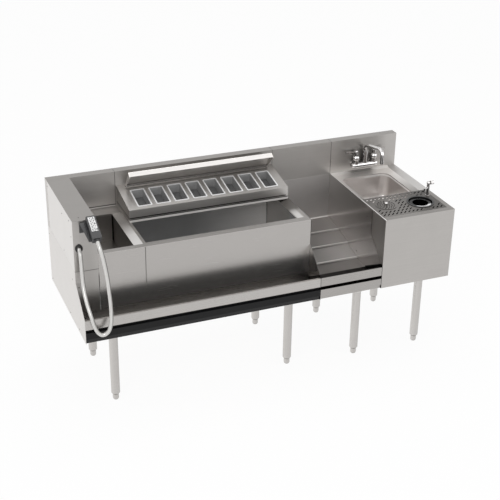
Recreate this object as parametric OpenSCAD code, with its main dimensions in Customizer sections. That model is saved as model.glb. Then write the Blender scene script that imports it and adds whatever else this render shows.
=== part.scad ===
// Underbar station in stainless sheet: soda gun box, bottle well, ice bin with condiment rack,
// stepped bottle display and sink module, with a speed rail in front.
// Millimetres. X runs from left to right, Y from the front to the wall, Z up from the floor.
// The origin lies on the floor, under the middle of the body.

/* [Overall] */
// Depth from the front of the rail to the wall
depth = 650; // [640:1:700]
// Height of the work surface above the floor
work_h = 757; // [750:1:860]
// Rise of the backsplash above the work surface
splash_rise = 173; // [165:1:260]
// Thickness of the backsplash from its face to the wall
splash_t = 45; // [38:1:60]
// Height of the underside of the body above the floor
base_h = 396; // [330:1:400]
// Thickness of the stainless sheet
sheet_t = 1.5; // [1.2:0.1:2]
// Width of the seam between neighbouring panels
seam_gap = 0.6; // [0.4:0.1:0.9]

/* [Sections] */
// Width of the soda gun box
box_w = 106; // [104:1:140]
// Width of the bottle well section
well_w = 216; // [160:1:300]
// Width of the ice bin section
bin_w = 809; // [805:1:1100]
// Width of the stepped display section
step_w = 325; // [200:1:600]
// Width of the sink module
sink_w = 373; // [372:1:500]

/* [Speed rail] */
// Depth of the rail in front of the bin
rail_d = 132; // [120:1:140]
// Height of the rail's top edge above the underside
rail_h = 114; // [105:1:140]
// Height of the pale strip on the rail's front
rail_strip_h = 45; // [30:1:60]
// Height of the rail's floor above the underside
rail_floor_h = 26; // [25:1:40]
// Drop of the end panels' slant below the seam under the box
slant_drop = 56; // [45:1:80]

/* [Bottle well] */
// Depth of the bottle well
well_depth = 140; // [100:1:200]
// Width of the well's sloping right-hand band
well_bevel_w = 40; // [20:1:60]
// Width of the deck behind the well
well_back_w = 84; // [60:1:120]

/* [Ice bin] */
// Thickness of the foam under and behind the ice bin
foam_t = 28; // [20:1:36]
// Width of the bin's sloping right-hand band
bin_bevel_w = 51; // [30:1:70]
// Width of the bin's left rim
bin_left_w = 14; // [10:1:30]
// Width of the bin's front rim
bin_front_w = 38; // [25:1:60]
// Width of the deck behind the bin
bin_back_w = 68; // [40:1:90]
// Drop of a sloping band from its outer to its inner edge
rim_drop = 8; // [4:1:12]

/* [Condiment rack] */
// Depth of the rack from the backsplash
rack_d = 213; // [205:1:260]
// Height of the rack's front
rack_front_h = 61; // [58:1:80]
// Rise of the rack's top from front to back
rack_rise = 40; // [20:1:50]
// Number of pans
pan_count = 8; // [8:1:8]
// Width of a pan over its rim
pan_w = 71; // [50:1:74]
// Length of a pan over its rim
pan_l = 141; // [110:1:143]
// Depth of a pan
pan_depth = 45; // [30:1:48]
// Distance from one pan to the next
pan_pitch = 91; // [88:1:93]
// Distance from the rack's left end to the first pan
pan_first = 48; // [36:1:50]
// Length of the lid from its hinge to its lip
lid_l = 102; // [80:1:110]
// Angle at which the lid stands open above the horizontal
lid_open = 57; // [40:1:80]

/* [Bottle display] */
// Height of the display's back edge above the underside
step_back_h = 123; // [100:1:160]
// Height of each small riser
step_riser_h = 9; // [4:1:14]

/* [Sink] */
// Depth of the sink bowl
bowl_depth = 152; // [120:1:190]
// Corner radius of the sink bowl
bowl_r = 45; // [30:1:55]
// Width of the sloping right-hand band
sink_bevel_w = 40; // [30:1:44]
// Thickness of the drain tray's sheet
tray_t = 2; // [1.5:0.1:2.5]
// Radius of the dipper well's cup
dipper_r = 60; // [50:1:62]
// Radius of the glass rinser's cup
rinser_r = 46; // [40:1:48]
// Travel of the glass rinser's button
rinser_travel = 5; // [3:1:6]

/* [Tap] */
// Distance between the tap's two valves
tap_centres = 101.6; // [90:0.1:110]
// Radius of the spout's tube
spout_r = 9; // [6:0.5:10]
// Length of the spout's straight arm
spout_arm = 120; // [90:1:140]

/* [Soda gun] */
// Length of the gun's body
gun_l = 123; // [118:1:140]
// Width of the gun's body
gun_w = 42; // [40:1:50]
// Thickness of the gun's body
gun_t = 31; // [26:1:34]
// Slope of the gun on its holder
gun_tilt = 26.5; // [22:0.5:30]
// Diameter of the gun's hose
hose_d = 18; // [16:1:19]

/* [Legs] */
// Diameter of a leg
leg_d = 41.3; // [38:0.1:45]
// Diameter of a foot
foot_d = 29; // [24:1:34]
// Height of the foot below the leg
foot_h = 29; // [22:1:40]
// Travel of the threaded foot
foot_travel = 25; // [10:1:28]

/* [Hidden] */
$fn = 48;

// Overrun of a cutting solid past the face it cuts
over = 5;
t = sheet_t;
half_gap = seam_gap / 2;

// Section lines along X
length = box_w + well_w + bin_w + step_w + sink_w;
x_left = -length / 2;
x_box = x_left + box_w;
x_bin = x_box + well_w;
x_step = x_bin + bin_w;
x_sink = x_step + step_w;
x_right = x_sink + sink_w;

// Planes along Y
y_front = -depth / 2;
y_back = depth / 2;
y_wall = y_back - splash_t;
y_apron = y_front + rail_d;

// Levels
top_z = work_h + splash_rise;
box_seam_drop = 70;
seam_z = work_h - box_seam_drop;
slant_z = seam_z - slant_drop;
rail_top_z = base_h + rail_h;
strip_z = rail_top_z - rail_strip_h;
rail_floor_z = base_h + rail_floor_h;
rim_in_z = work_h - rim_drop;
// Height of the rail's back wall above its floor
rail_back_h = 56;
rail_back_z = rail_floor_z + rail_back_h;

// Steel colours
steel = [0.70, 0.69, 0.67];
pale_steel = [0.80, 0.79, 0.77];
dark_steel = [0.46, 0.45, 0.44];
chrome = [0.84, 0.84, 0.86];
black = [0.12, 0.12, 0.12];

// Box between two corners
module slab(x0, x1, y0, y1, z0, z1) {
    translate([x0, y0, z0]) cube([x1 - x0, y1 - y0, z1 - z0]);
}

// Extrudes an outline drawn in Y and Z from x0 to x1
module along_x(x0, x1) {
    translate([x0, 0, 0]) rotate([90, 0, 90]) linear_extrude(x1 - x0) children();
}

// Extrudes an outline drawn in X and Z from y0 to y1
module along_y(y0, y1) {
    translate([0, y1, 0]) rotate([90, 0, 0]) linear_extrude(y1 - y0) children();
}

// Rectangle with rounded corners, from its low corner
module round_rect(w, d, r) {
    translate([r, 0]) square([w - 2 * r, d]);
    translate([0, r]) square([w, d - 2 * r]);
    for (x = [r, w - r]) for (y = [r, d - r]) translate([x, y]) circle(r);
}

// Outline of a sheet that hangs below a line of points
function below(points, th) = concat(points, [for (i = [len(points) - 1:-1:0]) points[i] - [0, th]]);

// Ring between two radii
module ring(r_out, r_in, h) {
    difference() {
        cylinder(r = r_out, h = h);
        translate([0, 0, -over]) cylinder(r = r_in, h = h + 2 * over);
    }
}

// Backsplash: four folded channels side by side
shank_r = 10.4;
neck_r = 12;
neck_clear = 0.6;
tap_x = (x_sink + x_right) / 2;
tap_out = 21;
tap_y = y_wall - tap_out;
tap_bar_r = 16;
tap_bar_rise = 33;
tap_bar_z = work_h + tap_bar_rise;
access_w = 150;
access_h = 56;

module splash_channel(x0, x1, z0) {
    along_x(x0, x1) polygon([
        [y_wall, z0], [y_wall, top_z], [y_back, top_z], [y_back, z0],
        [y_back - t, z0], [y_back - t, top_z - t], [y_wall + t, top_z - t], [y_wall + t, z0]
    ]);
}

module backsplash() {
    color(steel) difference() {
        union() {
            splash_channel(x_left, x_bin - half_gap, seam_z);
            splash_channel(x_bin + half_gap, x_step - half_gap, seam_z);
            splash_channel(x_step + half_gap, x_sink - half_gap, seam_z);
            splash_channel(x_sink + half_gap, x_right, seam_z);
            slab(x_left, x_left + t, y_wall, y_back, seam_z, top_z);
            slab(x_right - t, x_right, y_wall, y_back, seam_z, top_z);
        }
        for (s = [-1, 1]) translate([tap_x + s * tap_centres / 2, y_wall + t + over, tap_bar_z])
            rotate([90, 0, 0]) cylinder(r = neck_r + neck_clear, h = t + 2 * over);
        slab(tap_x - access_w / 2, tap_x + access_w / 2, y_back - t - over, y_back + over,
             tap_bar_z - access_h / 2, tap_bar_z + access_h / 2);
    }
}

// Sheet that closes the back below the backsplash
rear_flange_w = 18;
module rear_panel() {
    color(dark_steel) {
        slab(x_left + t, x_right - t, y_back - t, y_back, base_h, seam_z - seam_gap);
        slab(x_left + t, x_right - t, y_back - rear_flange_w, y_back - t, base_h, base_h + t);
    }
}

// Left end panel with the rail's slanted outline and a narrow front flange
end_flange_w = 22;
module left_end_panel() {
    color(pale_steel) {
        along_x(x_left, x_left + t) polygon([
            [y_front, base_h], [y_front, rail_top_z], [y_apron, slant_z],
            [y_apron, seam_z - seam_gap], [y_back, seam_z - seam_gap], [y_back, base_h]
        ]);
        slab(x_left + t, x_left + end_flange_w, y_apron, y_apron + t, slant_z, seam_z - seam_gap);
    }
}

// Soda gun box: upper cover with the hose hole, and the panel below it
hose_in = 24;
hose_x = x_left + hose_in;
hose_exit_drop = 130;
hose_exit_z = top_z - hose_exit_drop;
gland_r = 15;
gland_slope = 45;

module gun_box_cover() {
    color(steel) difference() {
        union() {
            slab(x_left, x_left + t, y_apron, y_wall - seam_gap, seam_z, top_z);
            slab(x_left, x_box, y_apron, y_apron + t, seam_z, top_z);
            slab(x_left, x_box, y_apron, y_wall - seam_gap, top_z - t, top_z);
            slab(x_box - t, x_box, y_apron, y_wall - seam_gap, seam_z, top_z);
        }
        gland_bar(gland_r, over + gland_r);
    }
}

// Round bar along the hose's slanting way out of the box
module gland_bar(r, reach) {
    translate([hose_x, y_apron, hose_exit_z]) rotate([90 + gland_slope, 0, 0])
        translate([0, 0, -reach]) cylinder(r = r, h = 2 * reach);
}

module gun_box_lower_panel() {
    color(steel) difference() {
        slab(x_left + t, x_box - half_gap, y_apron, y_apron + t, rail_back_z + seam_gap, seam_z - seam_gap);
        slab(x_left, x_left + end_flange_w + seam_gap, y_apron - over, y_apron + t + over,
             slant_z - seam_gap, seam_z);
    }
}

// Black gland that leads the hose out of the box and down
gland_l = 15;
gland_wall = 6;
module hose_grommet() {
    color(black) difference() {
        translate([hose_x, y_apron, hose_exit_z]) rotate([90 + gland_slope, 0, 0])
            translate([0, 0, -gland_l]) cylinder(r = gland_r, h = 2 * gland_l);
        slab(x_left, x_box, y_apron, y_wall, seam_z, top_z);
    }
    color(black) difference() {
        translate([hose_x, y_apron, hose_exit_z]) rotate([90 + gland_slope, 0, 0])
            translate([0, 0, -gland_l]) cylinder(r = gland_r - seam_gap, h = 2 * gland_l);
        slab(x_left, x_box, y_front, y_apron, seam_z, top_z);
    }
}

// Open basin of sheet: walls and floor round the space from (x0, y0) to (x1, y1)
module basin(x0, x1, y0, y1, floor_z, rim_z, right_z, hole) {
    difference() {
        union() {
            slab(x0 - t, x0, y0 - t, y1 + t, floor_z - t, rim_z);
            slab(x1, x1 + t, y0 - t, y1 + t, floor_z - t, right_z);
            slab(x0 - t, x1 + t, y0 - t, y0, floor_z - t, rim_z);
            slab(x0 - t, x1 + t, y1, y1 + t, floor_z - t, rim_z);
            slab(x0 - t, x1 + t, y0 - t, y1 + t, floor_z - t, floor_z);
        }
        translate([hole[0], hole[1], floor_z - t - over]) cylinder(r = drain_hole_r, h = t + 2 * over);
    }
}

// Flat rims round a basin and the sloping band on its right
module rim(xa, xb, x0, x1, y0, y1) {
    difference() {
        slab(xa, xb, y_apron, y_wall, work_h - t, work_h);
        slab(x0, x1, y0, y1, work_h - t - over, work_h + over);
        slab(x1, xb + over, y0, y1, work_h - t - over, work_h + over);
    }
    along_y(y0 - t, y1 + t) polygon(below([[x1, rim_in_z], [xb, work_h]], t));
    for (y = [y0 - t, y1]) along_y(y, y + t) polygon([
        [x1, rim_in_z - t], [xb, work_h - t], [x1, work_h - t]
    ]);
}

// Drain fitting, measured from the floor of the basin that holds it
drain_flange_r = 34;
drain_body_r = 25.5;
drain_hole_r = 25.6;
drain_cup_r = 23.5;
drain_cup_depth = 18;
drain_body_h = 36;
drain_tail_r = 19.05;
drain_tail_bore_r = 17;
drain_tail_h = 66;
drain_nut_r = 32;
drain_nut_h = 8;

// Bottle well
well_left_w = 4;
well_x0 = x_box + well_left_w;
well_x1 = x_bin - well_bevel_w;
well_front_w = 31;
well_y0 = y_apron + well_front_w;
well_y1 = y_wall - well_back_w;
well_floor_z = work_h - well_depth;
well_drain = [(well_x0 + well_x1) / 2, (well_y0 + well_y1) / 2];

module well_liner() {
    color(dark_steel) {
        basin(well_x0, well_x1, well_y0, well_y1, well_floor_z, work_h, rim_in_z, well_drain);
        rim(x_box + half_gap, x_bin - half_gap, well_x0, well_x1, well_y0, well_y1);
    }
}

// Front sheet below a rim
module apron(x0, x1) {
    slab(x0, x1, y_apron, y_apron + t, rail_back_z + seam_gap, work_h - t);
}

module well_apron() {
    color(steel) apron(x_box + half_gap, x_bin - half_gap);
}

// Ice bin
bin_x0 = x_bin + bin_left_w;
bin_x1 = x_step - bin_bevel_w;
bin_y0 = y_apron + bin_front_w;
bin_y1 = y_wall - bin_back_w;
channel_h = 22;
foam_gap = 4.5;
foam_floor_z = base_h + channel_h + foam_gap;
bin_floor_z = foam_floor_z + foam_t + t;
bin_drain_inset = 88;
bin_drain = [bin_x0 + bin_drain_inset, bin_y1 - bin_drain_inset];

module bin_liner() {
    color(dark_steel) {
        basin(bin_x0, bin_x1, bin_y0, bin_y1, bin_floor_z, work_h, rim_in_z, bin_drain);
        rim(x_bin + half_gap, x_step - half_gap, bin_x0, bin_x1, bin_y0, bin_y1);
    }
}

module bin_apron() {
    color(steel) apron(x_bin + half_gap, x_step - half_gap);
}

// Foam between the bin and its casing
foam_top_z = rim_in_z - 2 * t;
module bin_insulation() {
    color([0.93, 0.90, 0.78]) difference() {
        slab(x_bin + half_gap, bin_x1 + t + foam_t, y_apron + t, bin_y1 + t + foam_t,
             foam_floor_z, foam_top_z);
        slab(bin_x0 - t, bin_x1 + t, bin_y0 - t, bin_y1 + t, bin_floor_z - t, foam_top_z + over);
        translate([bin_drain[0], bin_drain[1], foam_floor_z - over])
            cylinder(r = drain_flange_r, h = foam_t + 2 * over);
    }
}

module drain_fitting(x, y, floor_z) {
    translate([x, y, floor_z]) rotate_extrude() polygon([
        [drain_cup_r, t], [drain_flange_r, t], [drain_flange_r, 0], [drain_body_r, 0],
        [drain_body_r, -t], [drain_nut_r, -t], [drain_nut_r, -t - drain_nut_h],
        [drain_body_r, -t - drain_nut_h], [drain_body_r, -drain_cup_depth - t],
        [drain_tail_r, -drain_body_h], [drain_tail_r, -drain_body_h - drain_tail_h],
        [drain_tail_bore_r, -drain_body_h - drain_tail_h], [drain_tail_bore_r, -drain_body_h + t],
        [drain_cup_r, -drain_cup_depth]
    ]);
}

module drain_fittings() {
    color(chrome) {
        drain_fitting(well_drain[0], well_drain[1], well_floor_z);
        drain_fitting(bin_drain[0], bin_drain[1], bin_floor_z);
        drain_fitting(bowl_cx, bowl_cy, bowl_floor_z);
    }
}

// Stepped display: four falling treads with small risers, seen from the side.
// Each pair is the share of the run from back to front and the share of the fall.
tread_edge_shares = [[0.285, 0.14], [0.51, 0.46], [0.73, 0.86], [1, 1]];
step_back_z = base_h + step_back_h;
step_front_z = rail_floor_z + step_riser_h + t;
step_x0 = x_step + half_gap + t + half_gap;
step_x1 = x_sink - half_gap - t - half_gap;

function tread_edge(i) = i < 0
    ? [y_wall - t, step_back_z + step_riser_h]
    : [y_wall - t + tread_edge_shares[i][0] * (y_apron - y_wall + t),
       step_back_z + tread_edge_shares[i][1] * (step_front_z - step_back_z)];

module step_display() {
    color(dark_steel) {
        slab(step_x0, step_x1, y_wall - t, y_wall, step_back_z - t, work_h);
        for (i = [0:len(tread_edge_shares) - 1]) {
            along_x(step_x0, step_x1) polygon(below([
                tread_edge(i - 1) - [0, step_riser_h], tread_edge(i)
            ], t));
            along_x(step_x0, step_x1) polygon([
                tread_edge(i), tread_edge(i) + [t, 0],
                tread_edge(i) + [t, -step_riser_h - t], tread_edge(i) - [0, step_riser_h + t]
            ]);
        }
    }
}

// Cuts in the lower edge of a panel, where the frame and the rear panel's flange pass
channel_w = 84;
front_row = 104;
back_row = 527;
notch_gap = 0.5;
module frame_notches(x0, x1) {
    for (row = [front_row, back_row])
        slab(x0, x1, y_front + row - channel_w / 2 - notch_gap, y_front + row + channel_w / 2 + notch_gap,
             base_h - over, base_h + channel_h + notch_gap);
    slab(x0, x1, y_back - rear_flange_w - notch_gap, y_back, base_h - over, base_h + t + notch_gap);
}

// The pair of panels at the two ends of the display
module display_end(x0) {
    along_x(x0, x0 + t) polygon([
        [y_front, base_h], [y_front, rail_top_z], [y_apron, slant_z],
        [y_apron, work_h], [y_wall, work_h], [y_wall, base_h]
    ]);
}

module step_end_panels() {
    color(steel) difference() {
        union() {
            display_end(x_step + half_gap);
            display_end(x_sink - half_gap - t);
        }
        frame_notches(x_step, x_sink);
    }
}

// Speed rail: a trough behind a pale strip, and a lower front with a recess, a face and a lip
rail_recess = 12;
hem_w = 10;
hem_h = 8;
recess_h = 16;
tier_h = 31;
lip_in = 8;
recess_z = strip_z - recess_h;
tier_z = recess_z - tier_h;
y_recess = y_front + rail_recess;

module rail_trough(x0, x1, back_z) {
    slab(x0, x1, y_front, y_front + t, strip_z, rail_top_z);
    slab(x0, x1, y_front, y_front + hem_w, rail_top_z - t, rail_top_z);
    slab(x0, x1, y_front + hem_w - t, y_front + hem_w, rail_top_z - hem_h, rail_top_z);
    slab(x0, x1, y_front, y_recess + 2 * t, strip_z, strip_z + t);
    slab(x0, x1, y_recess + t, y_recess + 2 * t, rail_floor_z - t, strip_z + t);
    slab(x0, x1, y_recess + t, y_apron + t, rail_floor_z - t, rail_floor_z);
    slab(x0, x1, y_apron, y_apron + t, rail_floor_z - t, back_z);
}

module rail_lower_front(x0, x1) {
    slab(x0, x1, y_recess, y_recess + t, recess_z - t, strip_z);
    slab(x0, x1, y_front, y_recess + t, recess_z - t, recess_z);
    slab(x0, x1, y_front, y_front + t, tier_z, recess_z);
    along_x(x0, x1) polygon([
        [y_front, tier_z], [y_front + t, tier_z], [y_front + lip_in + t, base_h], [y_front + lip_in, base_h]
    ]);
    slab(x0, x1, y_front + lip_in, y_front + lip_in + hem_w, base_h, base_h + t);
}

module rail_main() {
    color(steel) rail_trough(x_left + t, x_step - half_gap, rail_back_z);
}

module rail_lower_panel() {
    color(black) rail_lower_front(x_left + t, x_step - half_gap);
}

module rail_step() {
    color(steel) {
        rail_trough(step_x0, step_x1, rail_floor_z);
        rail_lower_front(step_x0, step_x1);
    }
}

// Sink module casing: one sheet wrapped round the left side, the front and the right side
module cabinet_side(x0) {
    along_x(x0, x0 + t) polygon([
        [y_front, base_h], [y_front, work_h - t], [y_wall - seam_gap, work_h - t],
        [y_wall - seam_gap, seam_z - seam_gap], [y_back - t, seam_z - seam_gap], [y_back - t, base_h]
    ]);
}

module sink_cabinet() {
    color(steel) {
        difference() {
            cabinet_side(x_sink + half_gap);
            frame_notches(x_sink, x_sink + half_gap + t + over);
        }
        cabinet_side(x_right - t);
        slab(x_sink + half_gap, x_right, y_front, y_front + t, base_h, work_h - t);
    }
}

// Sink deck
tray_left_w = 4;
tray_right_w = 24;
tray_front_w = 33;
tray_back_at = 256;
bowl_front_at = 211;
pan_rear_at = 203;
pan_in = 8;
tray_pan_depth = 38;
fit = 1;
tray_x0 = x_sink + half_gap + tray_left_w;
tray_x1 = x_right - tray_right_w;
tray_y0 = y_front + tray_front_w;
tray_y1 = y_front + tray_back_at;
sink_bevel_x = x_right - sink_bevel_w;
bowl_left_w = 24;
bowl_right_w = 81;
bowl_back_w = 69;
bowl_x0 = x_sink + bowl_left_w;
bowl_x1 = x_right - bowl_right_w;
bowl_y0 = y_front + bowl_front_at;
bowl_y1 = y_wall - bowl_back_w;
bowl_cx = (bowl_x0 + bowl_x1) / 2;
bowl_cy = (bowl_y0 + bowl_y1) / 2;
bowl_top_z = rim_in_z - t;
bowl_floor_z = bowl_top_z - bowl_depth;
fold_w = 18;
tray_pan_x0 = tray_x0 + pan_in;
tray_pan_x1 = tray_x1 - pan_in;
tray_pan_y0 = tray_y0 + pan_in;
tray_pan_y1 = y_front + pan_rear_at;
tray_pan_z = rim_in_z - tray_pan_depth;

// Centres of the round fittings in the tray
rinser_in = 83;
rinser_back = 155;
dipper_in = 114;
dipper_back = 132;
rinser_x = x_sink + rinser_in;
rinser_y = y_front + rinser_back;
dipper_x = x_right - dipper_in;
dipper_y = y_front + dipper_back;
valve_in = 18;
valve_back = 188;
valve_x = tray_x1 - valve_in;
valve_y = y_front + valve_back;
valve_shank_r = 7;
cup_clear = 0.5;

module sink_deck() {
    color(steel) difference() {
        union() {
            difference() {
                slab(x_sink + half_gap, x_right, y_front, tray_y1, work_h - t, work_h);
                slab(tray_x0, tray_x1, tray_y0, tray_y1 + over, work_h - t - over, work_h + over);
            }
            slab(tray_x0 - t, tray_x0, tray_y0 - t, tray_y1, rim_in_z - t, work_h);
            slab(tray_x1, tray_x1 + t, tray_y0 - t, tray_y1, rim_in_z - t, work_h);
            slab(tray_x0 - t, tray_x1 + t, tray_y0 - t, tray_y0, rim_in_z - t, work_h);
            slab(tray_x0 - t, tray_x1 + t, tray_y0 - t, tray_y1, rim_in_z - t, rim_in_z);
            slab(x_sink + half_gap + tray_left_w, sink_bevel_x, tray_y1 - t, y_wall, rim_in_z - t, rim_in_z);
            along_y(tray_y1, y_wall) polygon(below([
                [sink_bevel_x, rim_in_z], [x_right - t, work_h], [x_right, work_h]
            ], t));
            along_y(tray_y1 - t, y_wall) polygon(below([
                [x_sink + half_gap, work_h], [x_sink + half_gap + t, work_h],
                [x_sink + half_gap + tray_left_w, rim_in_z]
            ], t));
            along_x(x_sink + half_gap + tray_left_w, sink_bevel_x) polygon(below([
                [y_wall - fold_w, rim_in_z], [y_wall, work_h]
            ], t));
            slab(tray_pan_x0 - t, tray_pan_x1 + t, tray_pan_y0 - t, tray_pan_y1 + t,
                 tray_pan_z - t, rim_in_z);
        }
        slab(tray_pan_x0, tray_pan_x1, tray_pan_y0, tray_pan_y1, tray_pan_z, rim_in_z + over);
        translate([bowl_x0, bowl_y0, rim_in_z - t - over])
            linear_extrude(t + 2 * over) round_rect(bowl_x1 - bowl_x0, bowl_y1 - bowl_y0, bowl_r);
        translate([rinser_x, rinser_y, tray_pan_z - t - over])
            cylinder(r = rinser_r + cup_clear, h = t + 2 * over);
        translate([dipper_x, dipper_y, tray_pan_z - t - over])
            cylinder(r = dipper_r + cup_clear, h = t + 2 * over);
        translate([valve_x, valve_y, tray_pan_z - t - over])
            cylinder(r = valve_shank_r + cup_clear, h = t + 2 * over);
    }
}

// Rounded bowl drawn down from a flange under the deck
bowl_flange_w = 8;
bowl_sides = 32;
module bowl_space(x0, x1, y0, y1, r, floor_z, z1) {
    ball_z = floor_z + r * cos(180 / bowl_sides);
    hull() for (x = [x0 + r, x1 - r]) for (y = [y0 + r, y1 - r]) {
        translate([x, y, ball_z]) sphere(r, $fn = bowl_sides);
        translate([x, y, ball_z]) cylinder(r = r, h = z1 - ball_z, $fn = bowl_sides);
    }
}

module sink_bowl() {
    color(steel) difference() {
        union() {
            bowl_space(bowl_x0 - t, bowl_x1 + t, bowl_y0 - t, bowl_y1 + t, bowl_r + t,
                       bowl_floor_z - t, bowl_top_z);
            translate([bowl_x0 - bowl_flange_w, bowl_y0 - bowl_flange_w + t, bowl_top_z - t])
                linear_extrude(t) round_rect(bowl_x1 - bowl_x0 + 2 * bowl_flange_w,
                                             bowl_y1 - bowl_y0 + 2 * bowl_flange_w - t, bowl_r + t);
        }
        bowl_space(bowl_x0, bowl_x1, bowl_y0, bowl_y1, bowl_r, bowl_floor_z, bowl_top_z + over);
        translate([bowl_cx, bowl_cy, bowl_floor_z - t - over])
            cylinder(r = drain_hole_r, h = t + 2 * over);
    }
}

// Basket strainer that hangs in the sink's drain
strainer_clear = 0.4;
strainer_rim_r = 29;
strainer_hole_r = 2;
strainer_ring_r = 14;
strainer_holes = 10;
strainer_knob_r = 5;
strainer_knob_h = 9;
strainer_depth = 14;
module sink_strainer() {
    color(chrome) translate([bowl_cx, bowl_cy, bowl_floor_z + t]) difference() {
        union() {
            rotate_extrude() polygon([
                [0, t - strainer_depth], [drain_cup_r - strainer_clear - t, t - strainer_depth],
                [drain_cup_r - strainer_clear - t, t], [strainer_rim_r, t], [strainer_rim_r, 0],
                [drain_cup_r - strainer_clear, 0], [drain_cup_r - strainer_clear, -strainer_depth],
                [0, -strainer_depth]
            ]);
            translate([0, 0, -strainer_depth]) cylinder(r = strainer_knob_r / 2, h = strainer_depth);
            cylinder(r = strainer_knob_r, h = strainer_knob_h / 2);
        }
        for (i = [0:strainer_holes - 1]) rotate(i * 360 / strainer_holes)
            translate([strainer_ring_r, 0, -strainer_depth - over])
                cylinder(r = strainer_hole_r, h = t + 2 * over, $fn = 24);
    }
}

// Drain tray with rows of slanting slots between its round fittings
slot_l = 24;
slot_w = 6;
slot_turn = 42;
slot_pitch_x = 22;
slot_pitch_y = 26;
slot_margin = 16;
tray_skirt_h = rim_drop - tray_t;
flange_clear = 6;

module slot(x, y) {
    translate([x, y]) rotate(slot_turn) {
        translate([-(slot_l - slot_w) / 2, -slot_w / 2]) square([slot_l - slot_w, slot_w]);
        for (s = [-1, 1]) translate([s * (slot_l - slot_w) / 2, 0]) circle(slot_w / 2, $fn = 24);
    }
}

function away(x, y, cx, cy, r) = norm([x - cx, y - cy]) > r + slot_l / 2 + flange_clear / 2;

module drain_tray() {
    tw = tray_x1 - tray_x0 - 2 * fit;
    td = tray_y1 - tray_y0 - fit;
    nx = floor((tw - 2 * slot_margin) / slot_pitch_x);
    ny = floor((td - 2 * slot_margin) / slot_pitch_y);
    color(steel) difference() {
        union() {
            slab(tray_x0 + fit, tray_x1 - fit, tray_y0 + fit, tray_y1, work_h - tray_t, work_h);
            for (x = [tray_x0 + fit, tray_x1 - fit - t])
                slab(x, x + t, tray_y0 + fit, tray_y1, rim_in_z, work_h);
            for (y = [tray_y0 + fit, tray_y1 - t])
                slab(tray_x0 + fit, tray_x1 - fit, y, y + t, rim_in_z, work_h);
        }
        translate([0, 0, work_h - tray_t - over]) {
            translate([rinser_x, rinser_y, 0]) cylinder(r = rinser_r + cup_clear, h = tray_t + 2 * over);
            translate([dipper_x, dipper_y, 0]) cylinder(r = dipper_r + cup_clear, h = tray_t + 2 * over);
            translate([valve_x, valve_y, 0]) cylinder(r = valve_shank_r + cup_clear, h = tray_t + 2 * over);
            linear_extrude(tray_t + 2 * over) for (i = [0:nx]) for (j = [0:ny]) {
                x = tray_x0 + fit + tw / 2 + (i - nx / 2) * slot_pitch_x;
                y = tray_y0 + fit + td / 2 + (j - ny / 2) * slot_pitch_y;
                if (away(x, y, rinser_x, rinser_y, rinser_flange_r)
                    && away(x, y, dipper_x, dipper_y, dipper_flange_r)
                    && away(x, y, valve_x, valve_y, valve_flange_r)) slot(x, y);
            }
        }
    }
}

// Glass rinser: a cup under a slotted plate, and a domed button that a glass pushes down
rinser_flange_w = 6;
rinser_flange_r = rinser_r + rinser_flange_w;
rinser_flange_t = 1.6;
rinser_cup_h = 46;
rinser_slot_w = 5;
rinser_slot_l = 9;
rinser_slot_gap = 5;
rinser_ring_rs = [41, 29, 17];
rinser_floor_t = 3;
rinser_guide_r = 8;
rinser_guide_h = 26;
rinser_shank_r = 8;
rinser_shank_l = 40;
stem_clear = 0.05;
stem_r = 5;
rinser_head_r = 8;
rinser_lift = 4;

// One ring of slanting slots, as many as fit at its radius
module slot_ring(r) {
    count = floor(2 * PI * r / (rinser_slot_l + rinser_slot_gap));
    for (i = [0:count - 1]) rotate(i * 360 / count) translate([r, 0, -t - over]) rotate(slot_turn)
        translate([-rinser_slot_w / 2, -rinser_slot_l / 2, 0])
            cube([rinser_slot_w, rinser_slot_l, t + rinser_flange_t + 2 * over]);
}

module rinser_base() {
    color(chrome) translate([rinser_x, rinser_y, work_h]) difference() {
        union() {
            cylinder(r = rinser_flange_r, h = rinser_flange_t);
            translate([0, 0, -rinser_cup_h]) cylinder(r = rinser_r, h = rinser_cup_h);
            translate([0, 0, -rinser_cup_h - rinser_shank_l])
                cylinder(r = rinser_shank_r, h = rinser_shank_l);
        }
        difference() {
            translate([0, 0, -rinser_cup_h + rinser_floor_t])
                cylinder(r = rinser_r - t, h = rinser_cup_h - rinser_floor_t - t);
            translate([0, 0, -rinser_cup_h]) cylinder(r = rinser_guide_r, h = rinser_guide_h);
        }
        for (r = rinser_ring_rs) slot_ring(r);
        translate([0, 0, -t - over]) cylinder(r = rinser_head_r + fit, h = t + rinser_flange_t + 2 * over);
        translate([0, 0, -rinser_cup_h + rinser_floor_t])
            cylinder(r = stem_r + stem_clear, h = rinser_guide_h + over);
    }
}

module rinser_actuator() {
    foot_z = -rinser_cup_h + rinser_floor_t + rinser_travel + fit;
    color(chrome) translate([rinser_x, rinser_y, work_h]) {
        translate([0, 0, rinser_guide_h - rinser_cup_h + rinser_travel + fit])
            cylinder(r = rinser_head_r, h = rinser_lift + rinser_cup_h - rinser_guide_h);
        translate([0, 0, rinser_lift + rinser_travel + fit]) sphere(rinser_head_r);
        translate([0, 0, foot_z]) cylinder(r = stem_r, h = -foot_z);
    }
}

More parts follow.
